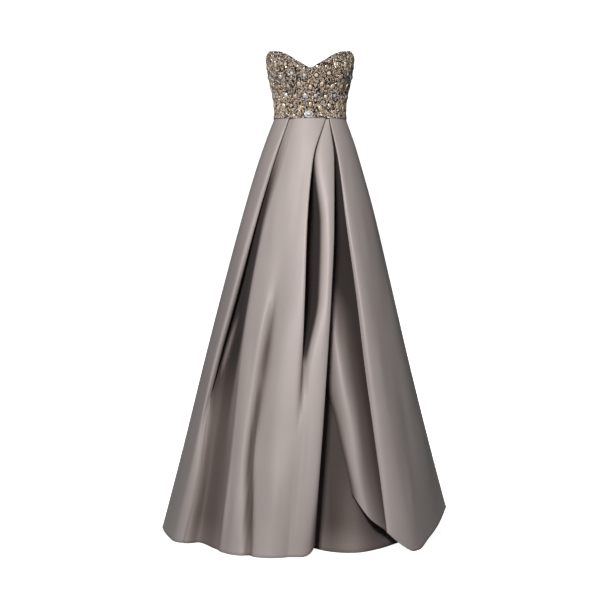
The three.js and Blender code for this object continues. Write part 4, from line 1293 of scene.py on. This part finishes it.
class GOWN_OT_large_stones(bpy.types.Operator):
    """Set the large cut stones of the diagonal lattice, each in a ring of beads"""

    bl_idname = "gown.large_stones"
    bl_label = "Large stones"

    def execute(self, context):
        settings = context.scene.gown_bodice
        random = np.random.default_rng(BEAD_SEED + 1)
        bearing, height, row = stone_lattice()
        count = len(bearing)
        axes = bodice_axes(bearing, height)
        cloth = settings.cloth_thickness / MM / 2
        surface = bodice_point(bearing, height) + axes[2] * (cloth + STONES["lift"])
        radius = settings.stone_radius / MM
        upright = row % 2 == 0
        half_sizes = [
            np.where(upright, radius * tall, radius * even)
            for tall, even in zip(STONES["upright"], STONES["round"])
        ]
        sizes = np.stack([*half_sizes, np.full(count, STONES["deep"])], -1)
        sizes *= random.uniform(*STONES["grows"], (count, 1))
        tone = np.where(upright, 0.1, random.choice([0.3, 0.55, 0.8], count))
        cut = toned_material(
            "finish_large_stones", STONE_TONES, 0.2, Metallic=0.25, Coat_Weight=0.5,
        )
        beside_centre = np.sign(bearing) * (np.abs(bearing) > 4)
        turn = STONES["turns"] * beside_centre * np.cos(STONES["swing_up"] * row)
        piece = sewn_on(
            "large_stones", LARGE_STONE, cut, tone, surface, axes, sizes, turn, smooth=False,
        )
        angle = np.arange(RING["beads"]) * 2 * np.pi / RING["beads"]
        long_way = (sizes[:, :1] + RING["clear"]) * np.cos(angle)[None]
        other_way = (sizes[:, 1:2] + RING["clear"]) * np.sin(angle)[None]
        cos, sin = np.cos(turn)[:, None], np.sin(turn)[:, None]
        girth_step = long_way * cos - other_way * sin
        ring_bearing = (bearing[:, None] + np.degrees(girth_step / BODICE_RADIUS)).ravel()
        ring_height = (height[:, None] + (long_way * sin + other_way * cos)).ravel()
        axes = bodice_axes(ring_bearing, ring_height)
        total = count * RING["beads"]
        tones = (
            (0.0, settings.champagne), (0.4, settings.silver), (0.6, settings.bronze),
        )
        piece = sewn_on(
            "stone_rings", BEAD,
            toned_material("finish_ring_beads", tones, 0.18, Metallic=0.85),
            np.repeat(random.random(count), RING["beads"]),
            bodice_point(ring_bearing, ring_height) + axes[2] * (cloth + RING["lift"]), axes,
            np.full((total, 3), RING["half_size"]), np.zeros(total),
        )
        return {"FINISHED"}


class GOWN_OT_edge_beads(bpy.types.Operator):
    """Sew strings of beads along the top edge and the waist seam"""

    bl_idname = "gown.edge_beads"
    bl_label = "Edge beads"

    def execute(self, context):
        settings = context.scene.gown_bodice
        random = np.random.default_rng(BEAD_SEED + 2)
        cloth = settings.cloth_thickness / MM / 2
        bearing = np.linspace(*EDGE["ends"], EDGE["beads"])
        top = TOP_EDGE(np.abs(bearing))
        bearings = np.concatenate([bearing + shift for _, _, shift, _ in EDGE_STRINGS])
        heights = np.concatenate([at_top * top + over for at_top, over, _, _ in EDGE_STRINGS])
        lifts = np.repeat([lift for *_, lift in EDGE_STRINGS], EDGE["beads"])
        total = len(bearings)
        axes = bodice_axes(bearings, heights)
        places = bodice_point(bearings, heights) + axes[2] * (cloth + lifts)[:, None]
        sizes = random.uniform(*EDGE["half_size"], (total, 1)) * np.ones((1, 3))
        tones = (
            (0.0, settings.champagne), (0.5, settings.bronze), (0.7, settings.silver),
            (0.8, settings.jet),
        )
        piece = sewn_on(
            "edge_beads", BEAD, toned_material("finish_edge_beads", tones, 0.2, Metallic=0.8),
            random.random(total), places, axes, sizes, np.zeros(total),
        )
        return {"FINISHED"}


class GOWN_OT_waist_ornament(bpy.types.Operator):
    """Set the crystal ornament at the waist"""

    bl_idname = "gown.waist_ornament"
    bl_label = "Waist ornament"

    def execute(self, context):
        settings = context.scene.gown_bodice
        cloth = settings.cloth_thickness / MM / 2
        ring = ORNAMENT["ring"]
        half_wide, half_tall = ORNAMENT["wide"] / 2, ORNAMENT["tall"] / 2
        inset = ORNAMENT["ring_inset"]
        angle = np.arange(ring) * 2 * np.pi / ring
        x = np.concatenate([[0.0], np.cos(angle) * (half_wide - inset[0])])
        up = np.concatenate([[0.0], np.sin(angle) * (half_tall - inset[1])])
        height = ORNAMENT["height"] + up
        bearing = np.degrees(np.arcsin((ORNAMENT["x"] + x) / BODICE["side"](height)))
        axes = bodice_axes(bearing, height)
        base = bodice_point(bearing, height)
        places = base + axes[2] * (cloth + ORNAMENT["stone_lift"])
        centre = [axis[:1] for axis in axes]
        beside = [axis[1:] for axis in axes]
        main_stone = scatter(
            LARGE_STONE, places[:1], centre, np.array([ORNAMENT["stone"]]), np.zeros(1),
        )
        small_sizes = np.full((ring, 3), ORNAMENT["ring_stone"])
        small = scatter(SMALL_STONE, places[1:], beside, small_sizes, angle)
        points, faces = joined([main_stone, small])
        crystal = toned_material(
            "finish_crystal", ((0.0, (0.38, 0.38, 0.39)), (0.5, (0.62, 0.62, 0.62))),
            0.36, Metallic=0.15, Coat_Weight=0.1,
        )
        tone = np.concatenate([
            np.full(len(LARGE_STONE[0]), 0.2),
            np.repeat(np.tile([0.6, 0.2], ring // 2), len(SMALL_STONE[0])),
        ])
        piece = make_piece(
            "waist_ornament_stones", points, faces, [crystal], tone=tone, smooth=False,
        )
        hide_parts("waist_medallion")
        metal = plain_metal("finish_setting", (0.34, 0.33, 0.32), 0.35, 0.9)
        plate = turned([(0, -0.4), (0.98, -0.3), (1, 0.0), (0.9, 0.28), (0, 0.36)], 40)
        setting = sewn_on(
            "waist_ornament_setting", plate, metal, [0.0],
            base[:1] + centre[2] * (cloth + ORNAMENT["plate_lift"]), centre,
            np.array([[half_wide, half_tall, ORNAMENT["plate"]]]), np.zeros(1),
        )
        return {"FINISHED"}


class GOWN_OT_zip(bpy.types.Operator):
    """Finish the zip's slider and pull, and the lips of cloth over its teeth"""

    bl_idname = "gown.zip"
    bl_label = "Zip"

    def execute(self, context):
        metal = plain_metal("finish_zip", (0.42, 0.38, 0.34), 0.28, 0.95, grain=900.0)
        for name in ("zip_slider", "zip_pull"):
            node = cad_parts[name]
            node.data.materials.clear()
            node.data.materials.append(metal)
            bevel = node.modifiers.new("worn_edges", "BEVEL")
            bevel.width = 0.25 * MM
            bevel.segments = 2
            bevel.limit_method = "ANGLE"
        self.lips(context.scene.gown_bodice)
        return {"FINISHED"}

    def lips(self, settings):
        """Two narrow lips of the bodice's cloth that meet over the teeth: each is a strip of
        the bodice's own surface, moved out and rounded up to its meeting edge."""
        height = np.linspace(ZIP_LIPS["top"], ZIP_LIPS["bottom"], 70)[:, None]
        across = np.linspace(0, 1, 9)[None]
        cloth = settings.cloth_thickness / MM / 2
        shells = []
        for side in (1, -1):
            from_back = (ZIP_LIPS["gap"] + across * ZIP_LIPS["wide"])[:, ::-side]
            bearing = side * (180 - np.degrees(from_back / BODICE["back"](height)))
            level = height + 0 * across
            rise = np.sqrt(np.maximum(0, 1 - (from_back / ZIP_LIPS["root"]) ** 2))
            out = cloth + ZIP_LIPS["clear"] + ZIP_LIPS["rise"] * rise
            out_of_it = bodice_axes(bearing, level)[2]
            middle = bodice_point(bearing, level) + out_of_it * out[..., None]
            shells.append(shell(middle, grid_normals(middle), ZIP_LIPS["thick"]))
        points, quads, flat, _ = joined(shells)
        ground = bpy.data.materials["bodice_ground"]
        piece = make_piece("zip_lips", points, quads, [ground], flat=flat)


class GOWN_OT_stage(bpy.types.Operator):
    """Set the floor, backdrop, lights and camera"""

    bl_idname = "gown.stage"
    bl_label = "Stage"

    def execute(self, context):
        settings = context.scene.gown_stage
        self.floor(settings)
        self.lights(context, settings)
        self.camera(context)
        return {"FINISHED"}

    def floor(self, settings):
        """A floor that sweeps up into a backdrop through a quarter circle."""
        turn = np.linspace(0, np.pi / 2, 24)
        depth = np.concatenate([[-7, 3], 3 + 2.5 * np.sin(turn[1:]), [5.5]])
        rise = np.concatenate([[0, 0], 2.5 * (1 - np.cos(turn[1:])), [9]])
        x, y = np.meshgrid(np.linspace(-9, 9, 4), depth)
        z = np.repeat(rise[:, None], 4, axis=1) + FLOOR_HEIGHT
        points = np.stack([x, y, z], -1).reshape(-1, 3)
        index = np.arange(len(points)).reshape(len(depth), 4)
        quads = np.stack(
            [index[:-1, :-1], index[:-1, 1:], index[1:, 1:], index[1:, :-1]], -1,
        ).reshape(-1, 4)
        mesh = bpy.data.meshes.new("studio_sweep")
        mesh.from_pydata(points.tolist(), [], quads.tolist())
        mesh.polygons.foreach_set("use_smooth", np.ones(len(quads), bool))
        sweep = bpy.data.objects.new("studio_sweep", mesh)
        bpy.context.scene.collection.objects.link(sweep)
        material, tree, nodes = new_material(
            "studio_paper", Roughness=0.9, Base_Color=(*settings.floor_colour, 1),
        )
        nodes |= {
            "dim": add_node(tree, "BsdfDiffuse", in_Color=(0.25, 0.25, 0.25, 1)),
            "glow": add_node(tree, "Emission", in_Strength=0.95),
            "path": add_node(tree, "LightPath"),
            "both": add_node(tree, "AddShader"),
            "seen": add_node(tree, "MixShader"),
        }
        link_nodes(
            tree, nodes, "shader.0 > both.0", "glow.0 > both.1",
            "path.Is Camera Ray > seen.Fac", "dim.0 > seen.1", "both.0 > seen.2",
            "seen.0 > output.Surface",
        )
        mesh.materials.append(material)

    def lights(self, context, settings):
        """A soft key light above and to the left of the camera, a broad one behind the gown,
        and an even fill from all round, which the camera itself sees as pale paper."""
        for name, place, size, power in (
            ("key_light", (-0.55, -2.9, 1.35), 0.6, settings.key_power),
            ("back_light", (0.3, 3.6, 1.5), 1.6, settings.key_power * 0.9),
        ):
            lamp = bpy.data.lights.new(name, "AREA")
            lamp.size = size
            lamp.energy = power
            light = bpy.data.objects.new(name, lamp)
            light.location = place
            aim = Vector((0, 0, -0.4)) - Vector(place)
            light.rotation_euler = aim.to_track_quat("-Z", "Y").to_euler()
            context.scene.collection.objects.link(light)
        world = bpy.data.worlds.new("studio_air")
        world.use_nodes = True
        tree = world.node_tree
        nodes = {
            "air": tree.nodes["Background"],
            "path": add_node(tree, "LightPath"),
            "strength": add_node(
                tree, "MapRange", in_To_Min=settings.fill_strength, in_To_Max=1.05,
            ),
        }
        nodes["air"].inputs["Color"].default_value = (1, 1, 1, 1)
        link_nodes(
            tree, nodes, "path.Is Camera Ray > strength.Value", "strength.Result > air.Strength",
        )
        context.scene.world = world
        context.scene.view_settings.view_transform = "Standard"

    def camera(self, context):
        """The photograph's own viewpoint, level with the hips and looking slightly down."""
        lens = bpy.data.cameras.new("camera")
        lens.lens = 98.9
        lens.sensor_width = 36.0
        camera = bpy.data.objects.new("camera", lens)
        camera.location = (-0.029, -4.76, -0.2349)
        camera.rotation_euler = (np.radians(90 - 3.424), 0, 0)
        context.scene.collection.objects.link(camera)
        context.scene.camera = camera


class GOWN_PT_panel(bpy.types.Panel):
    """The gown's pieces and settings in the sidebar"""

    bl_idname = "GOWN_PT_panel"
    bl_label = "Strapless gown"
    bl_space_type = "VIEW_3D"
    bl_region_type = "UI"
    bl_category = "Gown"

    def draw(self, context):
        column = self.layout.column()
        for operator in OPERATORS:
            column.operator(operator.bl_idname)
        for name, kind in SETTINGS:
            box = column.box()
            box.label(text=name.split("_")[1].capitalize())
            for setting in kind.__annotations__:
                box.prop(getattr(context.scene, name), setting)


SETTINGS = (
    ("gown_skirt", GownSkirtSettings), ("gown_bodice", GownBodiceSettings),
    ("gown_stage", GownStageSettings),
)
OPERATORS = (
    GOWN_OT_skirt_front, GOWN_OT_skirt_overlay, GOWN_OT_skirt_underlay, GOWN_OT_skirt_backs,
    GOWN_OT_bodice_cloth, GOWN_OT_beads, GOWN_OT_large_stones, GOWN_OT_edge_beads,
    GOWN_OT_waist_ornament, GOWN_OT_zip, GOWN_OT_stage,
)


def register():
    """Adds the settings to the scene, then the operators and the panel."""
    for name, group in SETTINGS:
        bpy.utils.register_class(group)
        setattr(bpy.types.Scene, name, bpy.props.PointerProperty(type=group))
    for cls in (*OPERATORS, GOWN_PT_panel):
        bpy.utils.register_class(cls)


def unregister():
    """Takes away what register added, the last first."""
    for cls in (GOWN_PT_panel, *reversed(OPERATORS)):
        bpy.utils.unregister_class(cls)
    for name, group in reversed(SETTINGS):
        delattr(bpy.types.Scene, name)
        bpy.utils.unregister_class(group)


def main():
    """Registers the classes and builds every piece in order."""
    register()
    for operator in OPERATORS:
        module, name = operator.bl_idname.split(".")
        getattr(getattr(bpy.ops, module), name)()


if __name__ == "__main__":
    main()
